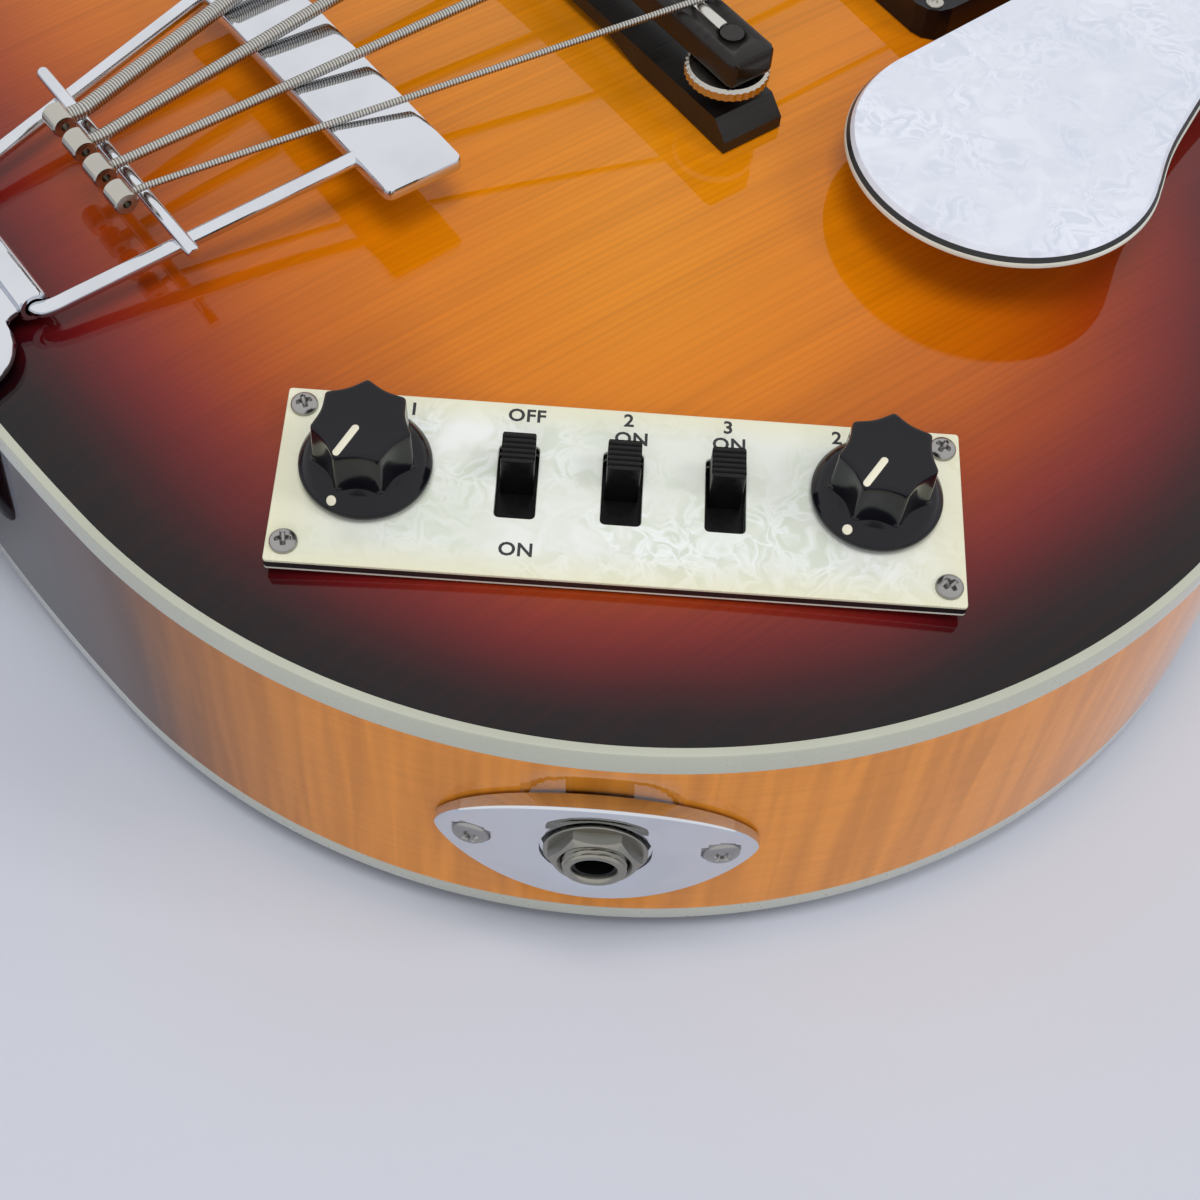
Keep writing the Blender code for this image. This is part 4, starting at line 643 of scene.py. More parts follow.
LEAD = Plastic("lead_cover", shade(24, 24, 24), shade(40, 40, 40), 0.6)


class Body(Enum):
    """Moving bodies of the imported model."""

    INSTRUMENT = "instrument"
    KNOB_1 = "knob_1"
    KNOB_2 = "knob_2"
    SADDLE = "saddle"
    WHEEL_BASS = "thumbwheel_bass"
    WHEEL_TREBLE = "thumbwheel_treble"


def publish(piece: bpy.types.Object, body: Union[Body, str], slot: str, *nodes: str) -> bpy.types.Object:
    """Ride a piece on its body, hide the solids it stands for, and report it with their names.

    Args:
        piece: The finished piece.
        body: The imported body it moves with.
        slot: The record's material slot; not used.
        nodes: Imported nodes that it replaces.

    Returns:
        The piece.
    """
    name = body.value if isinstance(body, Body) else body
    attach(piece, name)
    if nodes:
        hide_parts(*nodes)
    LOG.info("%s: %d faces on %s, replaces %s", piece.name, len(piece.data.polygons), name,
             nodes or "nothing")
    return piece


# The hollow body

@dataclass
class HollowBody:
    """Arched top and back, bent side wall and the two bindings."""

    tail_y: float = -127.9
    half_width: float = 148.35
    lower_radius: float = 113.15
    burst_bearing: float = -42.0
    burst_spread: float = 26.0
    burst_reach: float = 0.76
    lower_y: float = -12.7
    waist: float = 79.8
    upper_radius: float = 81.8
    upper_x: float = 28.0
    upper_y: float = 244.0
    low: float = 5.0
    high: float = 55.5
    arch: float = 7.8
    roll: float = 1.2
    roll_reach: float = 0.03
    top_power: float = 1.8
    back_rest: float = 0.36
    top_thickness: float = 3.2
    back_thickness: float = 3.0
    binding: float = 1.4
    top_binding_depth: float = 4.7
    back_binding_depth: float = 3.6
    plate_inset: float = 1.42
    top_spine: tuple[float, float] = (-33.0, 120.0)
    back_spine: tuple[float, float] = (-33.0, 200.0)

    def outline(self, inset: float = 0.0, fine: int = 1) -> Array:
        """The plan, anticlockwise from the tail: tail arc, lower bout, waist and upper bout, then mirrored.

        Args:
            inset: How far inside the edge.
            fine: Multiplies the number of points.

        Returns:
            Plan points.
        """
        lower_x = self.half_width - self.lower_radius
        drop = self.lower_y - self.tail_y
        tail = (self.lower_radius ** 2 - lower_x ** 2 - drop ** 2) / (2 * (self.lower_radius - drop))
        centre, radius = self._waist(lower_x)
        side = math.asin(lower_x / (tail - self.lower_radius))
        to_waist = math.atan2(centre[1] - self.lower_y, centre[0] - lower_x)
        to_upper = math.atan2(self.upper_y - centre[1], self.upper_x - centre[0])
        down = -math.pi / 2
        half = np.vstack([
            arc((0, self.tail_y + tail), tail - inset, down, down + side, 16 * fine),
            arc((lower_x, self.lower_y), self.lower_radius - inset, down + side, to_waist, 96 * fine)[1:],
            arc(centre, radius + inset, to_waist + math.pi, to_upper, 34 * fine)[1:],
            arc((self.upper_x, self.upper_y), self.upper_radius - inset, to_upper - math.pi, math.pi / 2,
                60 * fine)[1:],
            np.column_stack([np.linspace(self.upper_x, 0, 12 * fine)[1:],
                             np.full(12 * fine - 1, self.upper_y + self.upper_radius - inset)])])
        return np.vstack([half, half[-2:0:-1] * np.array([-1, 1])])

    def _waist(self, lower_x: float) -> tuple[tuple[float, float], float]:
        """Centre and radius of the waist arc that touches both bouts, found by halving an interval."""
        near, far = 10.0, 400.0
        for _ in range(60):
            radius = (near + far) / 2
            x = self.waist + radius
            down = math.sqrt((self.lower_radius + radius) ** 2 - (x - lower_x) ** 2)
            up = math.sqrt((self.upper_radius + radius) ** 2 - (x - self.upper_x) ** 2)
            near, far = (near, radius) if down + up > self.upper_y - self.lower_y else (radius, far)
        return (self.waist + radius, self.lower_y + down), radius

    def drawn_in(self, plan: Array, level: float, spine: tuple[float, float]) -> Array:
        """The plan shrunk towards the centre line: level 1 is the plan, level 0 the spine."""
        share = (plan[:, 1] - self.tail_y) / (self.upper_y + self.upper_radius - self.tail_y)
        centre = np.column_stack([np.zeros(len(plan)), spine[0] + share * (spine[1] - spine[0])])
        return centre + (plan - centre) * level

    def top_rise(self, level: float) -> float:
        """Height of the top over its edge: a quick roll and a broad dome."""
        return self.roll * (1 - math.exp(-(1 - level) / self.roll_reach)) + self.arch * (
            1 - level ** self.top_power)

    def back_drop(self, level: float) -> float:
        """Depth of the back below its edge, flat inside the rest level."""
        return self.low * min(1.0, (1 - level) / (1 - self.back_rest)) ** 0.8

    def plate(self, name: str, height: Callable[[float], float], thickness: float, spine: tuple[float, float],
              finish: Finish) -> bpy.types.Object:
        """An arched plate: levels run from the spine out to the edge and back along the other face.

        Args:
            name: Name of the piece.
            height: Height of the outer face at a level.
            thickness: Signed step from the outer face to the inner one.
            spine: Ends of the centre line that the levels shrink to.
            finish: Its finish.

        Returns:
            The plate.
        """
        plan = self.outline(self.plate_inset)
        outer = 1 - np.linspace(0, 1, 64) ** 2.2
        inner = np.linspace(1, 0, 12)
        levels = [(float(level), height(float(level))) for level in outer[::-1]]
        levels += [(float(level), height(float(level)) + thickness) for level in inner]
        grid = np.stack([at_height(self.drawn_in(plan, level, spine), z) for level, z in levels])
        return make_piece(name, [Skin(grid, capped=False)], [finish], crease=50)

    def hoop(self, name: str, section: Sequence[tuple[float, float]], finish: Finish) -> bpy.types.Object:
        """A band round the body: a section of (inset, height) points carried along the plan."""
        grid = np.stack([at_height(self.outline(inset, 3), z) for inset, z in section])
        return make_piece(name, [Skin(grid, ring_rows=True)], [finish])

    def mark_edge(self, piece: bpy.types.Object) -> None:
        """Store each point's distance in mm from the plan's edge, the least over the plan's points.

        The burst reaches a quarter less far inwards round the jack's bearing than elsewhere, so away from it
        the distance is scaled down to burst_reach, and a bell curve over the bearing joins the two.

        Args:
            piece: The top or the back.
        """
        rim = self.outline(fine=2)
        count = len(piece.data.vertices)
        points = np.empty(count * 3)
        piece.data.vertices.foreach_get("co", points)
        plan = points.reshape(-1, 3)[:, :2] / MM
        least = np.concatenate([np.sqrt(((part[:, None, :] - rim[None]) ** 2).sum(2)).min(1)
                                for part in np.array_split(plan, max(1, count // 4000))])
        bearing = np.arctan2(plan[:, 1] - self.lower_y,
                             np.abs(plan[:, 0]) - self.half_width + self.lower_radius)
        bell = np.exp(-((np.degrees(bearing) - self.burst_bearing) / self.burst_spread) ** 2)
        store(piece, "edge_distance", least * (self.burst_reach + (1 - self.burst_reach) * bell))

    def build(self) -> None:
        """Make the top with its openings, the back, the side wall and the bindings."""
        top = self.plate("arched_top", lambda level: self.high + self.top_rise(level), -self.top_thickness,
                         self.top_spine, TOP_FINISH)
        cutters = [block(f"pickup_opening_{n}", (74, 33, 40), WORLD.shifted(0, y, self.high))
                   for n, y in enumerate((62.0, 178.0))]
        well = rounded_rectangle(91, 21.4, 9)
        cutters.append(make_piece("well", [stacked([well, well], [-30, 20])], [BLACK_SATIN],
                                  PANEL.shifted(0, 1.1)))
        self.mark_edge(cut(top, cutters))
        publish(top, Body.INSTRUMENT, "top_lacquer", "top_plate")
        back = self.plate("arched_back", lambda level: self.low - self.back_drop(level), self.back_thickness,
                          self.back_spine, BACK_FINISH)
        self.mark_edge(back)
        publish(back, Body.INSTRUMENT, "back_lacquer", "back_plate")
        self.build_side()
        edge, soft = self.binding, 0.45
        high, low = self.high, self.low
        upper = [(edge, high - self.top_binding_depth), (edge, high), (soft, high),
                 (soft * 0.3, high - soft * 0.3),
                 (0, high - soft), (0, high - self.top_binding_depth)]
        lower = [(edge, low + self.back_binding_depth), (0, low + self.back_binding_depth), (0, low + soft),
                 (soft * 0.3, low + soft * 0.3), (soft, low), (edge, low)]
        publish(self.hoop("binding_top", upper, CREAM), Body.INSTRUMENT, "binding", "top_binding")
        publish(self.hoop("binding_back", lower, CREAM), Body.INSTRUMENT, "binding", "back_binding")

    def build_side(self) -> None:
        """The bent side wall with the linings glued inside it."""
        low = self.low + self.back_binding_depth + 0.02
        high = self.high - self.top_binding_depth - 0.02
        inner_low, inner_high = self.low + self.back_thickness + 0.3, self.high - self.top_thickness - 0.3
        section = [(0, low), (0, high), (1.7, high), (1.7, inner_high), (7, inner_high), (7, 48), (2.3, 43),
                   (2.3, 17), (7, 12.5), (7, inner_low), (1.7, inner_low), (1.7, low)]
        wall = self.hoop("side_wall", section, SIDE_FINISH)
        drill = make_piece("jack_drill", [lathe([(0, 20), (11.3, 20), (11.3, -20), (0, -20)])], [BLACK_SATIN],
                           JACK)
        cut(wall, [drill])
        points = np.empty(len(wall.data.vertices) * 3)
        wall.data.vertices.foreach_get("co", points)
        points = points.reshape(-1, 3) / MM
        from_tail = np.hypot(points[:, 0], points[:, 1] - self.tail_y)
        from_neck = np.hypot(points[:, 0], points[:, 1] - self.upper_y - self.upper_radius)
        store(wall, "edge_distance", np.minimum(from_tail, from_neck + 20))
        publish(wall, Body.INSTRUMENT, "rib_lacquer", "rib_assembly")


def store(piece: bpy.types.Object, name: str, values: Array) -> None:
    """Keep one number for each point of a piece."""
    layer = piece.data.attributes.new(name, "FLOAT", "POINT")
    layer.data.foreach_set("value", values.astype(np.float32))


def block(name: str, size: tuple[float, float, float], place: Place = WORLD,
          finish: Optional[Finish] = None) -> bpy.types.Object:
    """A rectangular block about the place's origin."""
    plan = rounded_rectangle(size[0], size[1], 0.01, 2)[::2]
    return make_piece(name, [stacked([plan, plan], [-size[2] / 2, size[2] / 2])], [finish or BLACK_SATIN],
                      place)


# Flat boards

def board(name: str, outlines: Sequence[Array], profile: Sequence[tuple[float, float]],
          finishes: Sequence[Finish], place: Place = WORLD, bands: Optional[Sequence[int]] = None,
          hole_profile: Optional[Sequence[tuple[float, float]]] = None) -> bpy.types.Object:
    """A flat board with shaped edges: each outline runs through (inset, height) rows and both faces are filled.

    Args:
        name: Name of the piece.
        outlines: The outer outline and then its holes, all anticlockwise.
        profile: Rows of the outer edge from the lower face to the upper one.
        finishes: Its finishes.
        place: The local frame.
        bands: Finish of each step of the profile; the faces take the first and the last.
        hole_profile: Rows of the holes' edges, where they differ.

    Returns:
        The board.
    """
    bands = bands or [0] * (len(profile) - 1)
    points, faces, marks, low, high = [], [], [], [], []
    start = 0
    for number, plan in enumerate(outlines):
        rows = profile if number == 0 else (hole_profile or profile)
        way = 1 if number == 0 else -1
        lines = np.stack([at_height(inward(plan, way * inset), z) for inset, z in rows])
        count = len(plan)
        index = start + np.arange(len(rows) * count).reshape(len(rows), count)
        after = np.roll(index, -1, axis=1)
        quads = np.stack([index[:-1], after[:-1], after[1:], index[1:]], axis=2).reshape(-1, 4)
        faces += quads.tolist()
        steps = np.asarray(bands if len(rows) == len(profile) else [bands[-1]] * (len(rows) - 1))
        marks.append(np.repeat(steps, count))
        points.append(lines.reshape(-1, 3))
        low.append(index[0])
        high.append(index[-1])
        start += len(rows) * count
    flat = np.vstack(points)
    for rims, mark in ((low, bands[0]), (high, bands[-1])):
        loops = [[Vector((flat[i, 0], flat[i, 1], 0)) for i in rim] for rim in rims]
        key = np.concatenate(rims)
        triangles = tessellate_polygon(loops)
        faces += [[int(key[i]) for i in triangle] for triangle in triangles]
        marks.append(np.full(len(triangles), mark))
    mesh = bpy.data.meshes.new(name)
    mesh.from_pydata((place.carry(flat) * MM).tolist(), [], faces)
    mesh.polygons.foreach_set("material_index", np.concatenate(marks).astype(np.int32))
    return finish_mesh(name, mesh, finishes, 32.0)


def solid_section(section: Array, stations: Sequence[tuple[float, float]], axis: int = 0) -> Skin:
    """A closed section carried straight along one axis.

    Args:
        section: Anticlockwise points across the other two axes, in their order.
        stations: (place along the axis, inset of the section there).
        axis: The axis that it runs along.

    Returns:
        The closed surface.
    """
    rows = []
    for at, inset in stations:
        plan = inward(section, inset)
        rows.append(np.insert(plan, axis, at, axis=1))
    return Skin(np.stack(rows))


def soft_ends(half: float, edge: float) -> list[tuple[float, float]]:
    """Stations of a straight piece whose two ends are rounded by the edge radius."""
    return [(-half, edge), (-half + 0.3 * edge, 0.3 * edge), (-half + edge, 0.0), (half - edge, 0.0),
            (half - 0.3 * edge, 0.3 * edge), (half, edge)]


def cross_head(radius: float, height: float, depth: float, turn: float, flat: float = 0.0,
               arm: float = 0.27) -> Skin:
    """A screw head with a cross recess, as a height over bearing and radius.

    The dome is a flattened ellipse. The recess is the dome lowered where a point lies within either arm of
    the cross, with sloped walls, and it is deepest at the centre.

    Args:
        radius: Radius of the head.
        height: Height of the dome over the seat.
        depth: Depth of the recess at its centre.
        turn: Bearing of the cross in radians.
        flat: Height of the straight rim.
        arm: Half width of an arm as a share of half the radius.

    Returns:
        The closed surface.
    """
    bearings = np.linspace(0, 2 * math.pi, 112, endpoint=False)[:, None]
    share = np.concatenate([np.linspace(0, 0.72, 26), np.linspace(0.76, 1, 9)])[None, :]
    x = radius * share * np.cos(bearings - turn)
    y = radius * share * np.sin(bearings - turn)
    dome = flat + (height - flat) * (1 - share ** 2.6) ** 0.55 + 0 * bearings
    half = arm * radius * 0.5
    near = np.minimum(np.abs(x), np.abs(y))
    far = np.maximum(np.abs(x), np.abs(y))
    slope = 0.10 * radius
    inside = np.clip((half - near) / slope + 0.5, 0, 1) * np.clip((0.56 * radius - far) / slope + 0.5, 0, 1)
    z = dome - inside * depth * (1 - 0.75 * far / (0.56 * radius)).clip(0.2, 1)
    grid = np.stack([radius * share * np.cos(bearings), radius * share * np.sin(bearings), z], axis=2)
    rim = np.stack([radius * np.cos(bearings), radius * np.sin(bearings), 0 * bearings], axis=2)
    foot = np.stack([0 * bearings, 0 * bearings, 0 * bearings], axis=2)
    return Skin(np.concatenate([grid, rim, foot], axis=1), ring_rows=True, ring_columns=False)


# Controls

@dataclass
class Knob:
    """A seven-sided knob on a conical skirt, with its pointer line and dot."""

    number: int
    x: float
    y: float
    bearing: float
    sides: int = 7
    grip: float = 7.5
    skirt: float = 9.5
    height: float = 11.7
    per_side: int = 24

    def star(self, radius: float, hollow: float) -> Array:
        """Plan of the grip: each side is a chord hollowed by a sine, and the corners are averaged round."""
        share = np.tile(np.arange(self.per_side) / self.per_side, self.sides)
        half = math.pi / self.sides
        reach = radius * math.cos(half) / np.cos(2 * half * share - half) - hollow * np.sin(math.pi * share)
        reach = sum(np.roll(reach, step) for step in (-1, 0, 1)) / 3
        angle = math.radians(self.bearing) + 2 * math.pi * np.arange(len(share)) / len(share)
        return np.column_stack([reach * np.cos(angle), reach * np.sin(angle)])

    def ring(self, radius: float) -> Array:
        """A circle with as many points as the star."""
        return self.star_like(radius)

    def star_like(self, radius: float) -> Array:
        """Circle points at the star's own bearings."""
        count = self.sides * self.per_side
        angle = math.radians(self.bearing) + 2 * math.pi * np.arange(count) / count
        return radius * np.column_stack([np.cos(angle), np.sin(angle)])

    def build(self) -> None:
        """Skirt, grip with rounded edges and dished top, line and dot."""
        place = PANEL.shifted(self.x, self.y)
        rows = [(0.0, 0.7, 0), (self.skirt - 0.5, 0.7, 0), (self.skirt - 0.1, 0.85, 0), (self.skirt, 1.15, 0),
                (self.skirt, 1.55, 0), (self.skirt - 0.12, 1.85, 0), (self.skirt - 0.4, 2.15, 0),
                (8.75, 2.62, 0), (8.3, 2.98, 0), (7.95, 3.22, 0)]
        plans = [self.star_like(radius) for radius, _, _ in rows]
        heights = [z for _, z, _ in rows]
        lower, upper = self.star(self.grip, 0.75), self.star(self.grip - 0.35, 0.45)
        top = self.height
        plans += [0.5 * (lower + self.star_like(7.8)), lower]
        heights += [3.34, 3.6]
        for share in np.linspace(0.12, 1, 8):
            plans.append(lower + (upper - lower) * share)
            heights.append(3.6 + (top - 0.55 - 3.6) * share)
        for inset, drop in ((0.04, 0.38), (0.14, 0.2), (0.3, 0.08), (0.55, 0.0), (1.0, 0.02)):
            plans.append(upper * (1 - inset / self.grip))
            heights.append(top - drop)
        for share in (0.75, 0.5, 0.25, 0.0):
            plans.append(upper * share)
            heights.append(top - 0.06)
        name = f"knob_{self.number}"
        knob = make_piece(f"{name}_grip", [stacked(plans, heights)], [BLACK_GLOSS], place, crease=50)
        publish(knob, name, "black_plastic", name)
        turned = place.turned(math.radians(self.bearing))
        line = arc((6.3, 0), 0.52, -math.pi / 2, math.pi / 2, 9)
        line = np.vstack([line, arc((1.6, 0), 0.52, math.pi / 2, 3 * math.pi / 2, 9)])
        inlay = board(f"{name}_line", [line], [(0, top - 0.3), (0, top + 0.015), (0.05, top + 0.04)],
                      [CREAM_INLAY], turned)
        publish(inlay, name, "pearl_plastic")
        slope = math.atan2(0.9, 1.1)
        lean = Place(tuple(turned.carry(np.array([8.62, 0, 2.76]))),
                     tuple(math.cos(slope) * np.array(turned.x) - math.sin(slope) * np.array(turned.z)), turned.y,
                     tuple(math.sin(slope) * np.array(turned.x) + math.cos(slope) * np.array(turned.z)))
        dot = make_piece(f"{name}_dot",
                         [lathe([(0, -0.4), (0.72, -0.4), (0.72, 0.06), (0.6, 0.12), (0, 0.13)], 32)],
                         [CREAM_INLAY], lean)
        publish(dot, name, "pearl_plastic")


@dataclass
class SlideLever:
    """The lever of one slide switch."""

    number: int
    x: float
    y: float = 3.6
    width: float = 4.8
    length: float = 5.2
    height: float = 5.0
    ridges: int = 6

    def build(self) -> None:
        """A block whose top is a row of rounded ridges."""
        half, top = self.length / 2, self.height
        pitch = self.length / self.ridges
        y = np.linspace(half, -half, self.ridges * 10 + 1)
        wave = 0.5 - 0.5 * np.cos(2 * math.pi * (half - y) / pitch)
        crest = np.column_stack([y, top - 0.42 + 0.42 * wave ** 0.7])
        crest[[0, -1], 1] = top - 0.25
        section = np.vstack([[(-half, -3.0)], crest[::-1], [(half, -3.0)]])[::-1]
        skin = solid_section(section, soft_ends(self.width / 2, 0.22))
        name = f"switch_lever_{self.number}"
        lever = make_piece(f"{name}_ridged", [skin], [BLACK_SATIN], PANEL.shifted(self.x, self.y), crease=40)
        publish(lever, name, "black_plastic", name)


@dataclass
class ControlPanel:
    """Three-ply pearl panel with knobs, switches, screws and plain marks."""

    length: float = 98.0
    width: float = 29.5
    thickness: float = 2.2
    slot_y: float = 1.1
    switch_xs: tuple[float, ...] = (-14.9, 0.1, 14.9)

    def build(self) -> None:
        """Make the panel and everything that sits on it."""
        knobs = [Knob(1, -36.4, 1.6, -116.5), Knob(2, 36.4, 2.3, -122.5)]
        outlines = [rounded_rectangle(self.length - 0.04, self.width - 0.04, 0.5, 4)]
        for x in self.switch_xs:
            outlines.append(rounded_rectangle(5.8, 12.4, 0.7, 4) + np.array([x, self.slot_y]))
        outlines += [circle(4.8, 40, (knob.x, knob.y)) for knob in knobs]
        low = -self.thickness
        profile = [(0.02, low), (0, low + 0.03), (0.01, -1.8), (0.0, -0.5), (0.02, -0.1), (0.1, 0.0)]
        panel = board("pearl_panel", outlines, profile, [WHITE_PLY, BLACK_PLY, PANEL_PEARL], PANEL,
                      [0, 0, 1, 2, 2])
        publish(panel, Body.INSTRUMENT, "pearl_plastic", "control_panel")
        for knob in knobs:
            knob.build()
        for number, x in enumerate(self.switch_xs, 1):
            SlideLever(number, x).build()
            self.switch(number, x)
        turns = (0.35, 1.0, 0.6, 0.15)
        for number, ((sx, sy), turn) in enumerate(zip(((-1, 1), (1, 1), (1, -1), (-1, -1)), turns), 1):
            place = PANEL.shifted(sx * 46.4, sy * 11.7, 0.02)
            head = cross_head(2.0, 1.25, 1.15, turn, 0.35, 0.3)
            shank = lathe([(0, 0.1), (1.0, 0.1), (1.0, -1.9), (0, -1.9)], 24)
            screw = make_piece(f"panel_screw_head_{number}", [head, shank], [SCREW_METAL], place, crease=45)
            publish(screw, Body.INSTRUMENT, "nickel", f"panel_screw_{number}")
        self.marks()

    def switch(self, number: int, x: float) -> None:
        """The switch under a slot: a folded steel frame round a black block."""
        place = PANEL.shifted(x, self.slot_y, -2.5)
        frame_plan = rounded_rectangle(8.6, 20, 0.8, 4)
        core_plan = rounded_rectangle(6.6, 13.2, 0.4, 4)
        case = board(f"switch_frame_{number}", [frame_plan, core_plan],
                     [(0.2, -8), (0, -7.7), (0, -0.2), (0.2, 0)],
                     [STEEL], place, hole_profile=[(0, -8), (0, -7.7), (0, -0.2), (0, 0)])
        publish(case, Body.INSTRUMENT, "steel", f"switch_body_{number}")
        inner = rounded_rectangle(6.5, 13.1, 0.4, 4)
        core = board(f"switch_core_{number}", [inner], [(0, -7.9), (0, -0.75), (0.1, -0.65)], [BLACK_SATIN],
                     place)
        publish(core, Body.INSTRUMENT, "black_plastic", f"switch_body_{number}")

    def marks(self) -> None:
        """Plain numbers and ON and OFF where a panel of this kind is marked."""
        rows = [("OFF", -14.2, 12.5), ("ON", -14.3, -10.4), ("2", 0.6, 12.9), ("ON", 1.1, 9.7),
                ("3", 15.1, 12.9), ("ON", 15.3, 9.9), ("1", -30.6, 12.3), ("2", 31.0, 12.4)]
        for number, (words, x, y) in enumerate(rows, 1):
            data = bpy.data.curves.new(f"mark_{number}", "FONT")
            data.body = words
            data.size = 3.05 * MM
            data.align_x, data.align_y = "CENTER", "CENTER"
            data.extrude = 0.01 * MM
            data.offset = 0.07 * MM
            data.resolution_u = 3
            data.space_character = 1.05
            text = bpy.data.objects.new(f"mark_{number}", data)
            text.matrix_world = PANEL.shifted(x, y, 0.02).matrix()
            bpy.context.scene.collection.objects.link(text)
            bpy.context.view_layer.update()
            mesh = bpy.data.meshes.new_from_object(text.evaluated_get(bpy.context.evaluated_depsgraph_get()))
            mesh.transform(text.matrix_world)
            mesh.materials.clear()
            bpy.data.objects.remove(text)
            publish(finish_mesh(f"mark_{number}", mesh, [INK], 40), Body.INSTRUMENT, "black_plastic")


# Jack

@dataclass
class JackSet:
    """Curved eye-shaped plate with a dish, threaded bushing, hexagon nut and two oval screws."""

    length: float = 47.2
    height: float = 27.0
    face: float = 3.0
    taper: float = 1.0
    wall_radius: float = 113.4
    dish: float = 12.0
    count: int = 160

    def fall(self, x: Array, share: float) -> Array:
        """How far the wall (share 0) or the tapered front (share 1) has fallen back at a place along it."""
        return -x * x / (2 * self.wall_radius) - share * self.taper * (2 * x / self.length) ** 2

    def eye(self, inset: float, z: float, share: float = 1.0) -> Array:
        """The plate's outline at an inset, bent to the wall."""
        angle = np.linspace(0, 2 * math.pi, self.count, endpoint=False)
        wave = np.sin(angle)
        plan = np.column_stack([self.length / 2 * np.cos(angle),
                                self.height / 2 * np.sign(wave) * np.abs(wave) ** 1.35])
        keep = 1 - inset / np.maximum(np.linalg.norm(plan, axis=1, keepdims=True), 1e-6)
        plan = plan * keep
        return at_height(plan, z + self.fall(plan[:, 0], share))

    def ring(self, radius: float, z: float) -> Array:
        """A level circle with the outline's number of points."""
        return at_height(circle(radius, self.count), z)

    def fallen(self, radius: float, z: float) -> Array:
        """A ring that follows the curved face."""
        ring = self.ring(radius, z)
        ring[:, 2] += self.fall(ring[:, 0], 1.0)
        return ring

    def build(self) -> None:
        """Make the plate, its screws, the bushing and the nut."""
        face = self.face
        rows = [self.eye(0, 0.3, 0), self.eye(0, face - 0.5), self.eye(0, face - 0.42),
                self.eye(0.06, face - 0.2),
                self.eye(0.2, face - 0.06), self.eye(0.42, face), self.eye(0.5, face)]
        rim, edge = rows[-1], self.fallen(self.dish, face)
        rows += [rim + (edge - rim) * share for share in (0.2, 0.4, 0.6, 0.8, 1.0)]
        well = self.ring(8.3, 1.92)
        for share in np.linspace(0.1, 1, 10):
            ring = edge + (well - edge) * share
            ring[:, 2] = edge[:, 2] + (well[:, 2] - edge[:, 2]) * share * share * (3 - 2 * share)
            rows.append(ring)
        rows += [self.ring(8.22, 1.88), self.ring(8.18, 1.75), self.ring(8.15, 1.1), self.ring(8.0, 1.02),
                 self.ring(5.1, 1.02), self.ring(5.1, 0.4)]
        plate = make_piece("jack_plate_dished", [Skin(np.stack(rows), ring_rows=True)], [CHROME], JACK,
                           crease=40)
        sinks, heads = [], []
        for side, turn in ((-1, 0.5), (1, 0.9)):
            x = side * 18.2
            z = face + float(self.fall(np.array(x), 1.0))
            lean = math.asin(x / self.wall_radius)
            x_way = math.cos(lean) * np.array(JACK.x) - math.sin(lean) * np.array(JACK.z)
            z_way = math.sin(lean) * np.array(JACK.x) + math.cos(lean) * np.array(JACK.z)
            seat = Place(tuple(JACK.carry(np.array([x, 0, z]))), tuple(x_way), JACK.y, tuple(z_way))
            sinks.append(make_piece(f"sink_{side}", [lathe([(0, 2), (3.25, 2), (3.25, 0.02), (3.0, -0.3),
                                                            (1.7, -1.3), (1.7, -9),
                                                            (0, -9)], 48)], [CHROME], seat))
            skin = cross_head(2.75, 0.6, 1.05, turn, -0.3, 0.3)
            skin.grid[:, -2, 2] = -0.45
            skin.grid[:, -1, 2] = -1.1
            shank = lathe([(0, -0.5), (1.2, -0.8), (1.2, -2.2), (0, -2.2)], 24)
            screw = make_piece(f"jack_screw_head_{(3 + side) // 2}", [skin, shank], [SCREW_METAL], seat,
                               crease=45)
            heads.append(screw)
            publish(screw, Body.INSTRUMENT, "nickel", f"jack_screw_{(3 + side) // 2}")
        cut(plate, sinks)
        publish(plate, Body.INSTRUMENT, "chrome", "jack_plate")
        self.bushing()
        self.nut()

    def bushing(self) -> None:
        """The jack's threaded barrel: a saw tooth runs round it one pitch a turn."""
        bearing = np.linspace(0, 2 * math.pi, 96, endpoint=False)[:, None]
        z = np.linspace(0.3, 5.0, 66)[None, :]
        phase = (z / 0.75 - bearing / (2 * math.pi)) % 1
        radius = 4.72 - 0.42 * np.abs(2 * phase - 1)
        radius = np.minimum(radius, 4.72 - 0.6 * np.clip(z - 4.8, 0, 1))
        ring = lambda r, h: np.stack([r * np.cos(bearing), r * np.sin(bearing), h + 0 * bearing], axis=2)
        thread = np.stack([radius * np.cos(bearing), radius * np.sin(bearing), z + 0 * bearing], axis=2)
        inner = [ring(4.5, 5.12), ring(4.42, 5.3), ring(4.15, 5.4), ring(3.75, 5.4), ring(3.4, 5.2),
                 ring(3.22, 4.8),
                 ring(3.22, -24), ring(7, -24), ring(7, -4), ring(8.6, -3), ring(8.6, -0.6), ring(4.5, -0.6)]
        grid = np.concatenate([thread] + inner, axis=1)
        barrel = make_piece("jack_barrel", [Skin(grid, ring_rows=True)], [WORN_NICKEL], JACK, crease=40)
        publish(barrel, Body.INSTRUMENT, "nickel", "jack_socket")
        lining = lathe([(3.2, 4.5), (3.2, -23.5), (2.9, -23.5), (2.9, 4.3)], 48, ring=True)
        sleeve = make_piece("jack_sleeve", [lining], [BLACK_SATIN], JACK)
        publish(sleeve, Body.INSTRUMENT, "black_plastic", "jack_socket")

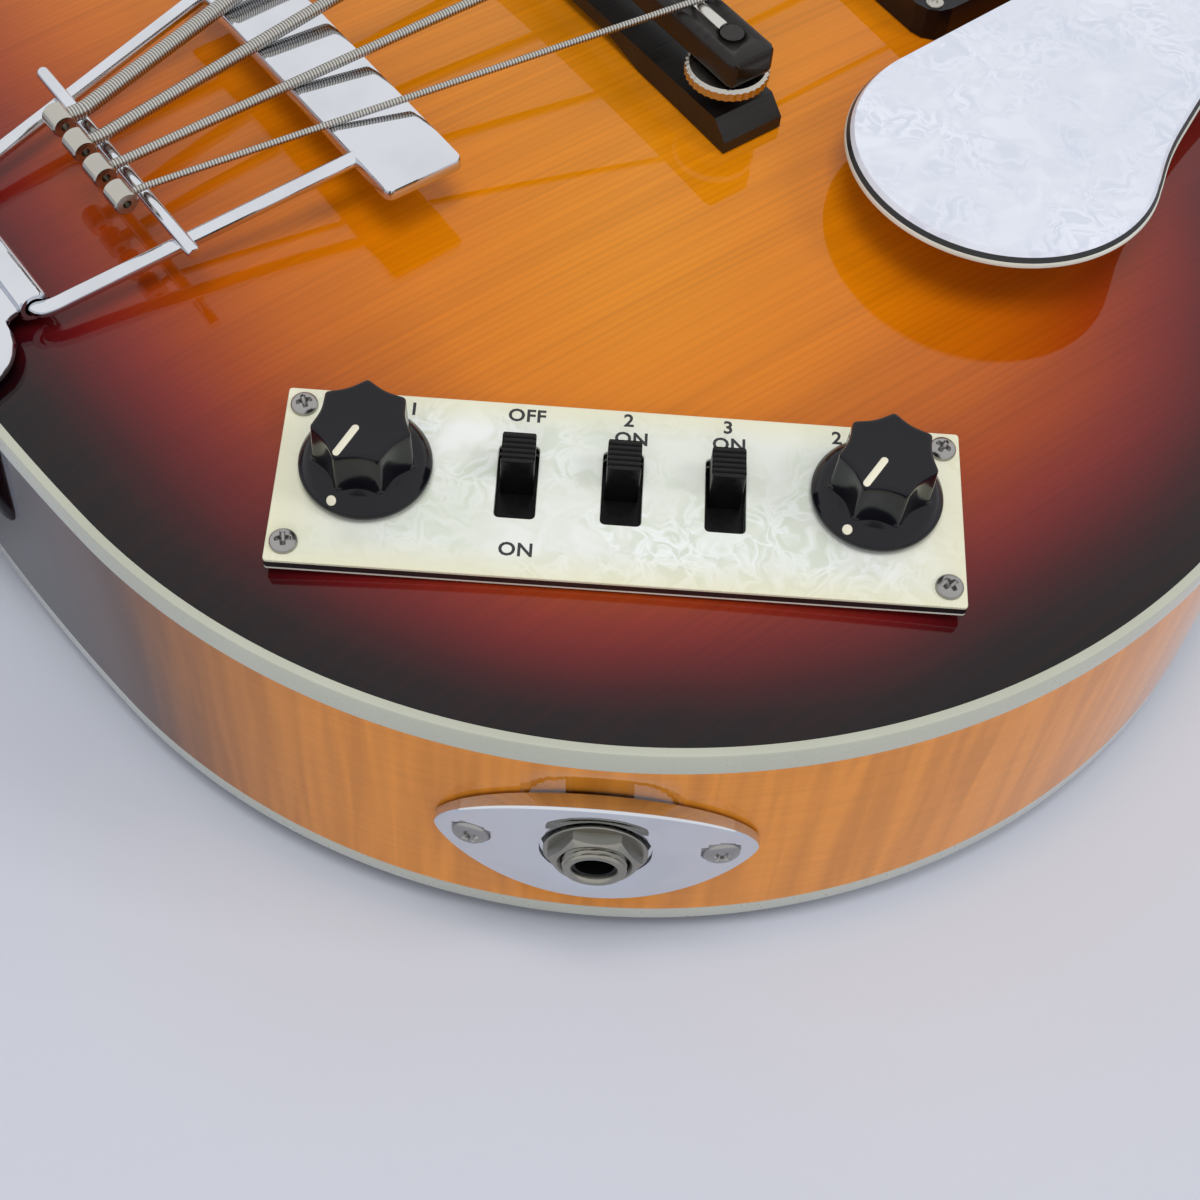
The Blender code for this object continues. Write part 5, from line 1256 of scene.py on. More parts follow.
    def nut(self) -> None:
        """A hexagon whose corners are cut by a cone, on a round face."""
        count = 288
        angle = np.linspace(0, 2 * math.pi, count, endpoint=False)
        part = angle % (math.pi / 3) - math.pi / 6
        reach = 6.9 * math.cos(math.pi / 6) / np.cos(part)
        inner, low, high = 5.0, 1.8, 4.3
        way = np.column_stack([np.cos(angle), np.sin(angle)])
        cone = np.minimum(high - 0.12, high - (reach - 5.75) * 0.62)
        rows = [at_height(inner * way, low + 0.2), at_height((inner + 0.2) * way, low),
                at_height(7.45 * way, low), at_height(7.6 * way,
                                                      low + 0.12), at_height(7.6 * way, low + 0.38),
                at_height(7.45 * way, low + 0.5), at_height((reach + 0.02)[:, None] * way, low + 0.5),
                at_height(reach[:, None] * way, low + 0.6), at_height(reach[:, None] * way, cone - 0.1),
                at_height((reach - 0.07)[:, None] * way, cone), at_height(5.75 * way, high),
                at_height((inner + 0.45) * way, high), at_height((inner + 0.1) * way, high - 0.35),
                at_height(inner * way, high - 0.5)]
        nut = make_piece("jack_hex_nut", [Skin(np.stack(rows), ring_rows=True)], [WORN_NICKEL], JACK,
                         crease=28)
        publish(nut, Body.INSTRUMENT, "nickel", "jack_nut")


# Tailpiece, bridge and strings

STRING_NAMES = ("string_e", "string_a", "string_d", "string_g")
STRING_RADII = (1.30, 1.05, 0.82, 0.57)
POST_PLACES = ((-19.0, 62.0), (-19.0, 122.0), (19.0, 122.0), (19.0, 62.0))


@dataclass
class Tailpiece:
    """Bent bracket with its hinge roll, trapeze of two rods and a bar, and the loose crossbar."""

    hinge_y: float = -112.7
    hinge_z: float = 62.2
    rod: float = 1.3
    bar_z: float = 72.8
    crossbar_y: float = -90.4

    def rod_point(self, y: float, side: int = 1) -> Array:
        """Centre of a rod between the hinge and the bar."""
        share = (y - self.hinge_y) / (-62.0 - self.hinge_y)
        return np.array([side * (15.4 + 7.6 * share), y, self.hinge_z + (self.bar_z - self.hinge_z) * share])

    def crossbar_z(self) -> float:
        """Height of the crossbar's centre, resting on the rods."""
        return float(self.rod_point(self.crossbar_y)[2]) + self.rod + 1.1 + 0.3

    def build(self) -> None:
        """Make the bracket, the trapeze and the crossbar."""
        self.bracket()
        skins = []
        low, high = -62.0, -48.0
        plan = rounded_rectangle(66, high - low, 1.4, 6) + np.array([0, (low + high) / 2])
        top = 74.1
        bar = board("trapeze_bar", [plan],
                    [(0.9, top - 2.6), (0.3, top - 2.5), (0, top - 2.1), (0, top - 0.6),
                                           (0.25, top - 0.15), (0.8, top)], [CHROME])
        for side in (-1, 1):
            bend, out = self.rod_point(self.hinge_y, side), self.rod_point(self.hinge_y + 2.4, side)
            turn = smooth_path([bend - [side * 3.4, 0, 0], bend - [side * 1.7, 0, 0],
                                bend + (out - bend) * 0.28 - [side * 0.45, 0, 0], out,
                                self.rod_point(self.hinge_y + 5, side)], 8)
            line = [self.rod_point(y, side) for y in np.linspace(self.hinge_y + 5, low, 30)[1:]]
            end = self.rod_point(low, side)
            path = np.vstack([[bend - [side * 8, 0, 0]], turn, line, [end + [0, 7, 0]]])
            skins.append(tube(path, self.rod, 28))
        rods = make_piece("trapeze_rods", skins, [CHROME], crease=40)
        publish(bar, Body.INSTRUMENT, "chrome", "tailpiece_frame")
        publish(rods, Body.INSTRUMENT, "chrome", "tailpiece_frame")
        x = np.concatenate([[-24.1, -24.05, -23.9], np.linspace(-23.5, 23.5, 24), [23.9, 24.05, 24.1]])
        radius = np.concatenate([[0.55, 0.85, 1.02], np.full(24, 1.1), [1.02, 0.85, 0.55]])
        path = np.column_stack([x, np.full_like(x, self.crossbar_y), np.full_like(x, self.crossbar_z())])
        publish(make_piece("loose_crossbar", [tube(path, radius, 24)], [CHROME], crease=40), Body.INSTRUMENT,
                "chrome", "tailpiece_crossbar")

    def bracket(self) -> None:
        """A sheet that runs from the hinge roll over the edge and down the tail, rounded along its sides."""
        line = smooth_path([(-114.6, 61.5, 13.6), (-116.2, 60.7, 13.3), (-116.8, 60.4, 13.8),
                            (-117.1, 60.25, 15.6),
                            (-117.8, 59.9, 17.4), (-119.4, 59.3, 19.5), (-121.5, 58.6,
                                                                         20.8), (-124, 57.8, 21.25),
                            (-126.6, 56.9, 21.25), (-128.2, 55.9, 21.1), (-128.85, 54.4,
                                                                          21), (-128.9, 49, 21),
                            (-128.9, 36, 19.5), (-128.9, 24, 18), (-128.9, 20, 14.5), (-128.9, 19, 12)], 6)
        heading = np.gradient(line[:, :2], axis=0)
        heading /= np.linalg.norm(heading, axis=1, keepdims=True)
        out = np.column_stack([heading[:, 1], -heading[:, 0]])
        rows = []
        for (y, z, half), way in zip(line, out):
            section = rounded_rectangle(2 * half, 1.5, 0.5, 5)
            across = section[:, 1] + 0.75
            rows.append(np.column_stack([section[:, 0], y + across * way[0], z + across * way[1]]))
        sheet = make_piece("bracket_sheet", [Skin(np.stack(rows))], [CHROME], crease=40)
        publish(sheet, Body.INSTRUMENT, "chrome", "tailpiece_bracket")
        roll = lathe([(1.62, -14), (1.62, 14), (2.3, 14), (2.62, 13.8), (2.7, 13.4), (2.7, -13.4),
                      (2.62, -13.8),
                      (2.3, -14)], 40, ring=True)
        place = Place((0.0, self.hinge_y, self.hinge_z), (0, 1, 0), (0, 0, 1), (1, 0, 0))
        publish(make_piece("bracket_roll", [roll], [CHROME], place), Body.INSTRUMENT, "chrome",
                "tailpiece_bracket")


@dataclass
class Bridge:
    """Floating wooden base, two threaded posts, thumbwheels, and the beam with its four wires."""

    width: float = 92.0
    post_x: float = 38.0
    beam_low: float = 74.2

    def build(self) -> None:
        """Give the base its finish, and make the thumbwheels and beam."""
        nodes = frame["nodes"]
        base = nodes["bridge_base"]
        base.data.materials.clear()
        base.data.materials.append(EBONY.material())
        for number, (body, side) in enumerate(((Body.WHEEL_BASS, -1), (Body.WHEEL_TREBLE, 1))):
            self.wheel(body, side)
        self.beam()

    def wheel(self, body: Body, side: int) -> None:
        """A knurled wheel: its rim is a fine wave."""
        count = 144
        angle = np.linspace(0, 2 * math.pi, count, endpoint=False)
        way = np.column_stack([np.cos(angle), np.sin(angle)])
        knurl = (6.98 - 0.22 * np.abs(np.sin(18 * angle)))[:, None]
        rows = [at_height(2.1 * way, 0), at_height(2.1 * way, 2.4), at_height(6.3 * way, 2.4),
                at_height((knurl - 0.25) * way, 2.2), at_height(knurl * way,
                                                                1.9), at_height(knurl * way, 0.5),
                at_height((knurl - 0.25) * way, 0.2), at_height(6.3 * way, 0)]
        wheel = make_piece(f"{body.value}_knurled", [Skin(np.stack(rows), ring_rows=True)], [NICKEL],
                           WORLD.shifted(side * self.post_x, 0, 71.5), crease=30)
        publish(wheel, body, "nickel", body.value)

    def beam(self) -> None:
        """A beam with rounded edges and four wires let into its top."""
        section = rounded_rectangle(9, 5.58, 1.2, 6) + np.array([0, self.beam_low + 2.8])
        beam = make_piece("saddle_beam", [solid_section(section, soft_ends(44, 1.2))], [EBONY])
        drills = [make_piece(f"drill_{side}", [lathe([(0, 90), (2.15, 90), (2.15, 60), (0, 60)], 32)],
                             [EBONY],
                             WORLD.shifted(side * self.post_x, 0)) for side in (-1, 1)]
        publish(cut(beam, drills), Body.SADDLE, "ebony", "bridge_saddle")
        wires = []
        for rank in (-1.5, -0.5, 0.5, 1.5):
            half = arc((0, 79.5), 1.08, 0, math.pi, 13)
            section = np.vstack([half, [(-1.08, 78.0), (1.08, 78.0)]])
            skin = solid_section(section, [(rank * 20 + at, inset) for at, inset in soft_ends(6, 0.3)])
            wires.append(skin)
        publish(make_piece("saddle_wires", wires, [FRET_METAL]), Body.SADDLE, "nickel", "bridge_saddle")


@dataclass
class StringSet:
    """Four wound strings with their ball ends."""

    tail: Tailpiece

    def build(self) -> None:
        """Each string runs from its ball over the crossbar, the bridge and the nut and round its post."""
        for index, (name, radius) in enumerate(zip(STRING_NAMES, STRING_RADII)):
            rank = index - 1.5
            z = self.tail.crossbar_z() + 1.1 + 0.3 + radius
            y = self.tail.crossbar_y
            corners = np.array([(rank * 6.4, y - 3.4, z), (rank * 6.4, y, z), (rank * 20, 0, 80.7 + radius),
                                (rank * 10.5, 764.5,
                                 56.9 + radius), *self.winding(POST_PLACES[index], radius)])
            path = self.eased(corners)
            skin = tube(path, radius - 0.01, 14)
            string = make_piece(f"{name}_wound", [skin], [STRING_WIRE], crease=60)
            publish(string, Body.INSTRUMENT, "string_steel", name)
            ball = lathe([(0.7, -2), (0.9, -2), (1.75, -2), (2, -1.75), (2, 1.75), (1.75, 2), (0.9, 2),
                          (0.7, 2)], 32,
                         ring=True)
            place = Place((rank * 6.4, y - 4, z), (0, 1, 0), (0, 0, 1), (1, 0, 0))
            publish(make_piece(f"{name}_ball_end", [ball], [NICKEL], place), Body.INSTRUMENT, "string_steel",
                    name)

    @staticmethod
    def winding(post: tuple[float, float], radius: float) -> Array:
        """A helix down round the post, from where the string arrives on its inner side."""
        inward_x = -math.copysign(1, post[0])
        reach = 4.5 + 0.3 + radius
        turn = np.linspace(0, 2 * math.pi * 20 / 9, 72)
        local = np.column_stack([post[0] + inward_x * reach * np.cos(turn), post[1] + reach * np.sin(turn),
                                 11.6 - (2 * radius + 0.6) * turn / (2 * math.pi)])
        return HEAD.carry(local)

    @staticmethod
    def eased(corners: Array) -> Array:
        """The path with a point 0.6 mm either side of each bend in its place."""
        ahead = np.diff(corners, axis=0)
        length = np.linalg.norm(ahead, axis=1, keepdims=True)
        step = ahead / length * np.minimum(0.6, length * 0.3)
        mid = corners[1:-1]
        points = np.stack([mid - step[:-1], mid + step[1:]], axis=1).reshape(-1, 3)
        return np.vstack([corners[:1], points, corners[-1:]])


STRING_WIRE = WoundWire("wound_steel")


# Pickups and pickguard

@dataclass
class Pickup:
    """A covered pickup with four pole screws, in a sloped black surround."""

    name: str
    y: float
    top: float

    def build(self) -> None:
        """Make the cover with its poles and the surround with its screws."""
        width, depth = 72.0, 31.0
        rows = [(0, 60.5), (0, self.top - 1.2), (0.12, self.top - 0.7), (0.4, self.top - 0.3),
                (0.85, self.top - 0.06),
                (1.3, self.top)]
        plans = [rounded_rectangle(width - 2 * inset, depth - 2 * inset, 3 - inset, 8) for inset, _ in rows]
        cover = make_piece(f"cover_{self.name}", [stacked(plans, [z for _, z in rows])], [CHROME],
                           WORLD.shifted(0, self.y))
        publish(cover, Body.INSTRUMENT, "chrome", f"pickup_{self.name}")
        poles = []
        for number, x in enumerate((-27.0, -9.0, 9.0, 27.0)):
            head = cross_head(2.9, 0.75, 0.6, 0.4 + number, 0.2, 0.3)
            head.grid[..., 0] += x
            head.grid[..., 1] += self.y - 8.0
            head.grid[..., 2] += self.top - 0.02
            poles.append(head)
        publish(make_piece(f"poles_{self.name}", poles, [NICKEL], crease=45), Body.INSTRUMENT, "nickel",
                f"pickup_{self.name}")
        surround = frame["nodes"][f"pickup_surround_{self.name}"]
        surround.data.materials.clear()
        surround.data.materials.append(BLACK_GLOSS.material())
        screws = []
        for number, (sx, sy) in enumerate(((-1, -1), (1, -1), (1, 1), (-1, 1))):
            head = cross_head(1.6, 0.7, 0.5, 0.3 + number, 0.1)
            head.grid += np.array([sx * 41.2, self.y + sy * 18.2, 69.5])
            screws.append(head)
        publish(make_piece(f"surround_screws_{self.name}", screws, [NICKEL], crease=45), Body.INSTRUMENT,
                "nickel")


@dataclass
class Pickguard:
    """A floating three-ply pearl guard with a broad bevel."""

    end: tuple[float, float] = (76.7, 25.4)
    radius: float = 25.35
    start: float = 35.0
    top: float = 74.2
    thickness: float = 2.4

    def outline(self) -> Array:
        """Round end, then a smooth run up one side and back down the other."""
        curve = arc(self.end, self.radius, math.radians(self.start), -math.pi, 73)
        sides = [(49, 95), (47, 160), (45.5, 212), (49, 229), (55.5, 219), (61, 180), (70, 125), (79, 83),
                 (90.35, 52.45)]
        ends = np.vstack([curve[[-5, -1]], sides, curve[[0, 4]]])
        run = smooth_path(ends, 12)[12:-12]
        return np.vstack([curve, run[1:-1]])[::-1]

    def build(self) -> None:
        """Make the guard; its bracket keeps its shape."""
        low = self.top - self.thickness
        profile = [(0.1, low), (0, low + 0.08), (0, low + 0.45), (0.22, low + 0.85), (0.72, low + 1.6),
                   (1.22, self.top - 0.06), (1.28, self.top)]
        guard = board("pearl_guard", [self.outline()], profile, [WHITE_PLY, BLACK_PLY, GUARD_PEARL],
                      bands=[0, 0, 0, 1, 2, 2])
        publish(guard, Body.INSTRUMENT, "pearl_plastic", "pickguard")


# Neck and tuners

@dataclass
class Neck:
    """Neck and headstock, fretboard with frets and dots, nut and truss-rod cover."""

    frets: int = 22
    scale: float = 762.0
    crown: float = 300.0
    tilt: float = 1.47

    def width(self, y: float) -> float:
        """Width of the board at a place behind the nut."""
        length = (self.scale - 205) / math.cos(math.radians(self.tilt))
        return 42 + 14 * min(1.0, max(0.0, -y / length))

    def head_plan(self, start: float, inset: float = 0.0) -> Array:
        """The headstock's outline, anticlockwise."""
        half = [(20.5, -2), (21.5, 10), (27, 28), (32.5, 55), (33.5, 85), (32.5, 115), (35, 145), (38, 163),
                (34, 178),
                (20, 184), (7, 181), (0, 185)]
        curve = smooth_path([(x, max(y, start)) for x, y in half], 8)
        plan = np.vstack([curve, (curve[-2::-1]) * np.array([-1, 1])])
        return inward(plan, inset)

    def build(self) -> None:
        """Make the wooden neck, the board, its metal and its dots."""
        self.shaft()
        plan = self.head_plan(-2)
        holes = [circle(5.2, 40, place) for place in POST_PLACES]
        low = -13.0
        profile = [(0.8, low), (0.25, low + 0.2), (0, low + 0.8), (0, -2.0), (0, -1.6), (0.05, -0.15),
                   (0.3, 0)]
        bare = [(0, low), (0, low + 0.2), (0, low + 0.8), (0, -2.0), (0, -1.6), (0, -0.15), (0, 0)]
        head = board("headstock", [plan] + holes, profile, [NECK_FINISH, BLACK_GLOSS], HEAD,
                     [0, 0, 0, 0, 1, 1], bare)
        store(head, "edge_distance", np.zeros(len(head.data.vertices)))
        publish(head, Body.INSTRUMENT, "neck_lacquer", "neck")
        cover = smooth_path([(-9, 3), (-9.5, 12), (-5, 26), (0, 31), (5, 26), (9.5, 12), (9, 3)], 8)
        cover = board("rod_cover", [cover[::-1]], [(0, 0.3), (0, 0.8), (0.4, 1.4), (0.8, 1.85)],
                      [WHITE_PLY, BLACK_PLY, GUARD_PEARL], HEAD, [0, 1, 2])
        publish(cover, Body.INSTRUMENT, "pearl_plastic", "truss_rod_cover")
        self.fretboard()
        nut = solid_section(rounded_rectangle(5, 7.35, 0.5, 4) + np.array([2.8, 1.8 - 3.7]),
                            soft_ends(20.95, 0.5))
        publish(make_piece("ivory_nut", [nut], [IVORY], NECK), Body.INSTRUMENT, "nut_ivory", "nut")

    def section(self, width: float, depth: float, y: float, square: float) -> Array:
        """Half-round or square section of the neck, flat on top."""
        angle = np.linspace(0, math.pi, 41)
        side = -np.sign(np.cos(angle)) * np.abs(np.cos(angle)) ** square
        z = -5.8 - depth * np.sin(angle) ** square
        return np.column_stack([side * width / 2, y - z * math.tan(math.radians(self.tilt)), z])

    def shaft(self) -> None:
        """The neck from its tongue and heel to the nut."""
        reach = 1 / math.cos(math.radians(self.tilt))
        heel = -(self.scale - 326) * reach
        knots = [(-53, 0.8, 0.35), (-27, 2.1, 0.35), (0.4, 3.9, 0.35), (0.9, 47.0, 0.35), (14, 44.2, 0.45),
                 (27, 34.8, 0.6), (40, 24.4, 0.8), (56, 18.0, 1.0)]
        rows = [self.section(self.width(heel + at) - 0.34, depth, heel + at, square) for at, depth,
                square in knots[:4]]
        spans = smooth_path(knots[3:], 8)[1:]
        rows += [self.section(self.width(heel + at) - 0.34, depth, heel + at, square) for at, depth,
                 square in spans]
        for y in np.linspace(heel + 62, -30, 40):
            depth = 14 + 4 * y / (heel + 56)
            rows.append(self.section(self.width(y) - 0.34, depth, y, 1.0))
        for share in np.linspace(0.15, 1, 8):
            y = -30 + 32 * share
            rows.append(self.section(self.width(y) - 0.34, 14.15 + 0.85 * share, y, 1.0 - 0.4 * share))
        shaft = make_piece("neck_shaft", [Skin(np.stack(rows))], [NECK_FINISH], NECK, crease=50)
        store(shaft, "edge_distance", np.zeros(len(shaft.data.vertices)))
        publish(shaft, Body.INSTRUMENT, "neck_lacquer", "neck")

    def fretboard(self) -> None:
        """Crowned board; frets follow its crown with rounded ends, and the dots lie flush in it."""
        length = (self.scale - 205) / math.cos(math.radians(self.tilt))
        rows = []
        for y, inset in ((-length, 0.4), (-length + 0.4, 0), (-0.7, 0), (-0.3, 0.3)):
            half = self.width(y) / 2 - inset
            x = np.linspace(half - 0.3, -half + 0.3, 41)
            face = np.column_stack([x, np.full(41, y), -x * x / (2 * self.crown) - inset])
            edge = np.array([(-half, y, face[-1, 2] - 0.3), (-half, y, -5.48), (half, y, -5.48),
                             (half, y, face[0, 2] - 0.3)])
            rows.append(np.vstack([face, edge]))
        publish(make_piece("rosewood_fretboard", [Skin(np.stack(rows))], [ROSEWOOD], NECK, crease=25),
                Body.INSTRUMENT, "rosewood", "fretboard")
        wires = []
        for number in range(1, self.frets + 1):
            y = -self.scale * (1 - 2 ** (-number / 12))
            half = self.width(y) / 2 - 0.4
            x = np.linspace(-half, half, 31)
            lower = np.clip((half - np.abs(x)) / 1.2, 0, 1)
            bow = arc((0, 0), 1, 0, math.pi, 9)
            section = np.vstack([bow, [(-0.6, -0.8), (0.6, -0.8)]])
            base = -x * x / (2 * self.crown)
            grid = np.stack([np.column_stack([np.full(11, a), y + section[:, 0] * 1.08,
                                              b - 0.05 + section[:, 1] * (0.35 + 0.68 * c) ])
                             for a, b, c in zip(x, base, lower)])
            wires.append(Skin(grid))
        publish(make_piece("fret_wires", wires, [FRET_METAL], NECK), Body.INSTRUMENT, "nickel", "fretboard")
        dots = []
        for number in (3, 5, 7, 9, 12, 15, 17, 19, 21):
            ys = [-self.scale * (1 - 2 ** (-n / 12)) for n in (number - 1, number)]
            for x in ((-9.0, 9.0) if number == 12 else (0.0,)):
                dot = lathe([(0, -1.5), (3.1, -1.5), (3.1, 0.0), (2.9, 0.02), (0, 0.03)], 40)
                dot.grid += np.array([x, sum(ys) / 2, -x * x / (2 * self.crown)])
                dots.append(dot)
        publish(make_piece("pearl_dots", dots, [GUARD_PEARL], NECK), Body.INSTRUMENT, "pearl_plastic",
                "fretboard")


@dataclass
class Tuners:
    """Posts with gears, keys with worms and oval buttons, and ferrules on the head's face."""

    def build(self) -> None:
        """Make each post, key and ferrule."""
        for number, (x, y) in enumerate(POST_PLACES, 1):
            self.post(number, x, y)
            self.key(number, x, y)

    def post(self, number: int, x: float, y: float) -> None:
        """A waisted post on its bolt, over a gear wheel with twelve teeth."""
        count = 96
        angle = np.linspace(0, 2 * math.pi, count, endpoint=False)
        way = np.column_stack([np.cos(angle), np.sin(angle)])
        rows = [(0.0, 15.6), (3.9, 15.6), (4.0, 16.0), (5.4, 16.0), (5.7, 15.7), (5.75, 15.2), (5.75, 14.3),
                (5.6, 13.8), (4.9, 13.2), (4.5, 12.6), (4.5, 3.0), (4.9, 2.3), (5.0, 1.6), (5.0, -15.9)]
        grid = [at_height(radius * way, z) for radius, z in rows]
        tooth = 7.45 - 1.0 * np.clip(0.5 + 1.4 * np.cos(12 * angle + math.pi), 0, 1)
        grid += [at_height((tooth - 0.3)[:, None] * way, -15.9), at_height(tooth[:, None] * way, -16.2),
                 at_height(tooth[:, None] * way, -19.6), at_height((tooth - 0.3)[:, None] * way, -19.9),
                 at_height(0 * way, -19.9)]
        post = make_piece(f"post_{number}", [Skin(np.stack(grid), capped=False)], [CHROME],
                          HEAD.shifted(x, y))
        publish(post, f"tuner_post_{number}", "chrome", f"tuner_post_{number}")
        ferrule = lathe([(5.15, 0.02), (7.6, 0.02), (7.6, 0.5), (7.2, 0.85), (6.4, 1.0), (5.15, 1.0)], 64,
                        ring=True)
        piece = make_piece(f"ferrule_{number}", [ferrule], [NICKEL], HEAD.shifted(x, y))
        publish(piece, Body.INSTRUMENT, "nickel")

    def key(self, number: int, x: float, y: float) -> None:
        """A shaft with a worm thread that ends in a flat oval button."""
        side = math.copysign(1, x)
        offset = 7.5 + 3 + 0.15
        origin = (x, y - offset, -13 - 0.3 - 1.2 - 1.4 - 2)
        along = np.concatenate([np.linspace(-7.5, -4.6, 4), np.linspace(-4.5, 4.3, 90),
                                np.linspace(4.4, 23, 10),
                                np.linspace(23.4, 42, 40)])
        angle = np.linspace(0, 2 * math.pi, 48, endpoint=False)[None, :]
        phase = ((along[:, None] - angle * 3 / (2 * math.pi)) / 3) % 1
        worm = 2.2 + 0.75 * np.clip(1.6 - 4 * np.abs(phase - 0.5), 0, 1)
        fade = np.clip(np.minimum(along + 4.5, 4.3 - along) / 0.5, 0, 1)[:, None]
        radius = np.where((along[:, None] > -4.5) & (along[:, None] < 4.3), 1.5 + (worm - 1.5) * fade, 1.5)
        reach = along - 28.0
        wide = np.interp(reach, [-5, -4, -1.2, 0, 1.5, 4, 8, 11, 13, 13.7, 14],
                         [1.5, 2.9, 2.9, 4.8, 7.4, 9.4, 9.9, 8.6,
                                                                               5.8, 3.6, 1.6])
        thick = np.interp(reach, [-5, -4, -1.2, 0, 3, 8, 12, 13.5, 14],
                          [1.5, 2.9, 2.9, 2.4, 2.6, 2.9, 2.5, 1.6, 0.6])
        y_reach = np.where(reach[:, None] > -5, wide[:, None], radius)
        z_reach = np.where(reach[:, None] > -5, thick[:, None], radius)
        grid = np.stack([side * (along[:, None] + 0 * angle), y_reach * np.cos(angle),
                         z_reach * np.sin(angle)], axis=2)
        key = make_piece(f"key_{number}", [Skin(grid)], [CHROME], HEAD.shifted(*origin), crease=50)
        publish(key, f"tuner_key_{number}", "chrome", f"tuner_key_{number}")


@dataclass
class StrapButtons:
    """A flared button at the tail and one on the bass-side shoulder."""

    def build(self) -> None:
        """Turn both buttons from one smooth profile."""
        knots = [(0, 12.7), (3, 12.9), (6.4, 12.6), (7.4, 11.8), (7.3, 10.8), (6.2, 10.0), (4.2, 8.6),
                 (3.6, 7.0),
                 (3.7, 4.4), (4.4, 2.6), (5.6, 1.2), (5.95, 0.5), (5.8, 0.0)]
        line = np.vstack([smooth_path(knots, 5), [(0, 0.0)]])
        line[:, 0] = np.maximum(line[:, 0], 0)
        bearing = math.radians(118)
        out = (math.cos(bearing), math.sin(bearing), 0.0)
        places = {"tail": Place((0.0, -130.7, 32.0), (1, 0, 0), (0, 0, 1), (0, -1, 0)),
                  "shoulder": Place((-28 + 82.3 * out[0], 244 + 82.3 * out[1], 29.0), (out[1], -out[0], 0.0),
                                    (0, 0, 1), out)}
        for name, place in places.items():
            button = make_piece(f"button_{name}", [lathe(line, 56)], [CHROME], place)
            publish(button, Body.INSTRUMENT, "chrome", f"strap_button_{name}")


KEPT_NODES: dict[str, tuple[Finish, str]] = {
    "potentiometer_1": (NICKEL, "pot_steel"), "potentiometer_2": (NICKEL, "pot_steel"),
    "bridge_base": (EBONY, "ebony"), "pickup_surround_bridge": (BLACK_GLOSS, "black_plastic"),
    "pickup_surround_neck": (BLACK_GLOSS, "black_plastic"), "pickguard_bracket": (NICKEL, "nickel"),
    "tuner_strip_bass": (NICKEL, "nickel"), "tuner_strip_treble": (NICKEL, "nickel"),
    "truss_rod": (STEEL, "steel"), "wiring": (LEAD, "wire_cover")}


def dress_kept_nodes() -> None:
    """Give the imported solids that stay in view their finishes."""
    for name, (kind, slot) in KEPT_NODES.items():
        node = frame["nodes"][name]
        node.data.materials.clear()
        node.data.materials.append(kind.material())
        LOG.info("%s keeps its packed shape in %s", name, kind.name)


# The camera, light and floor

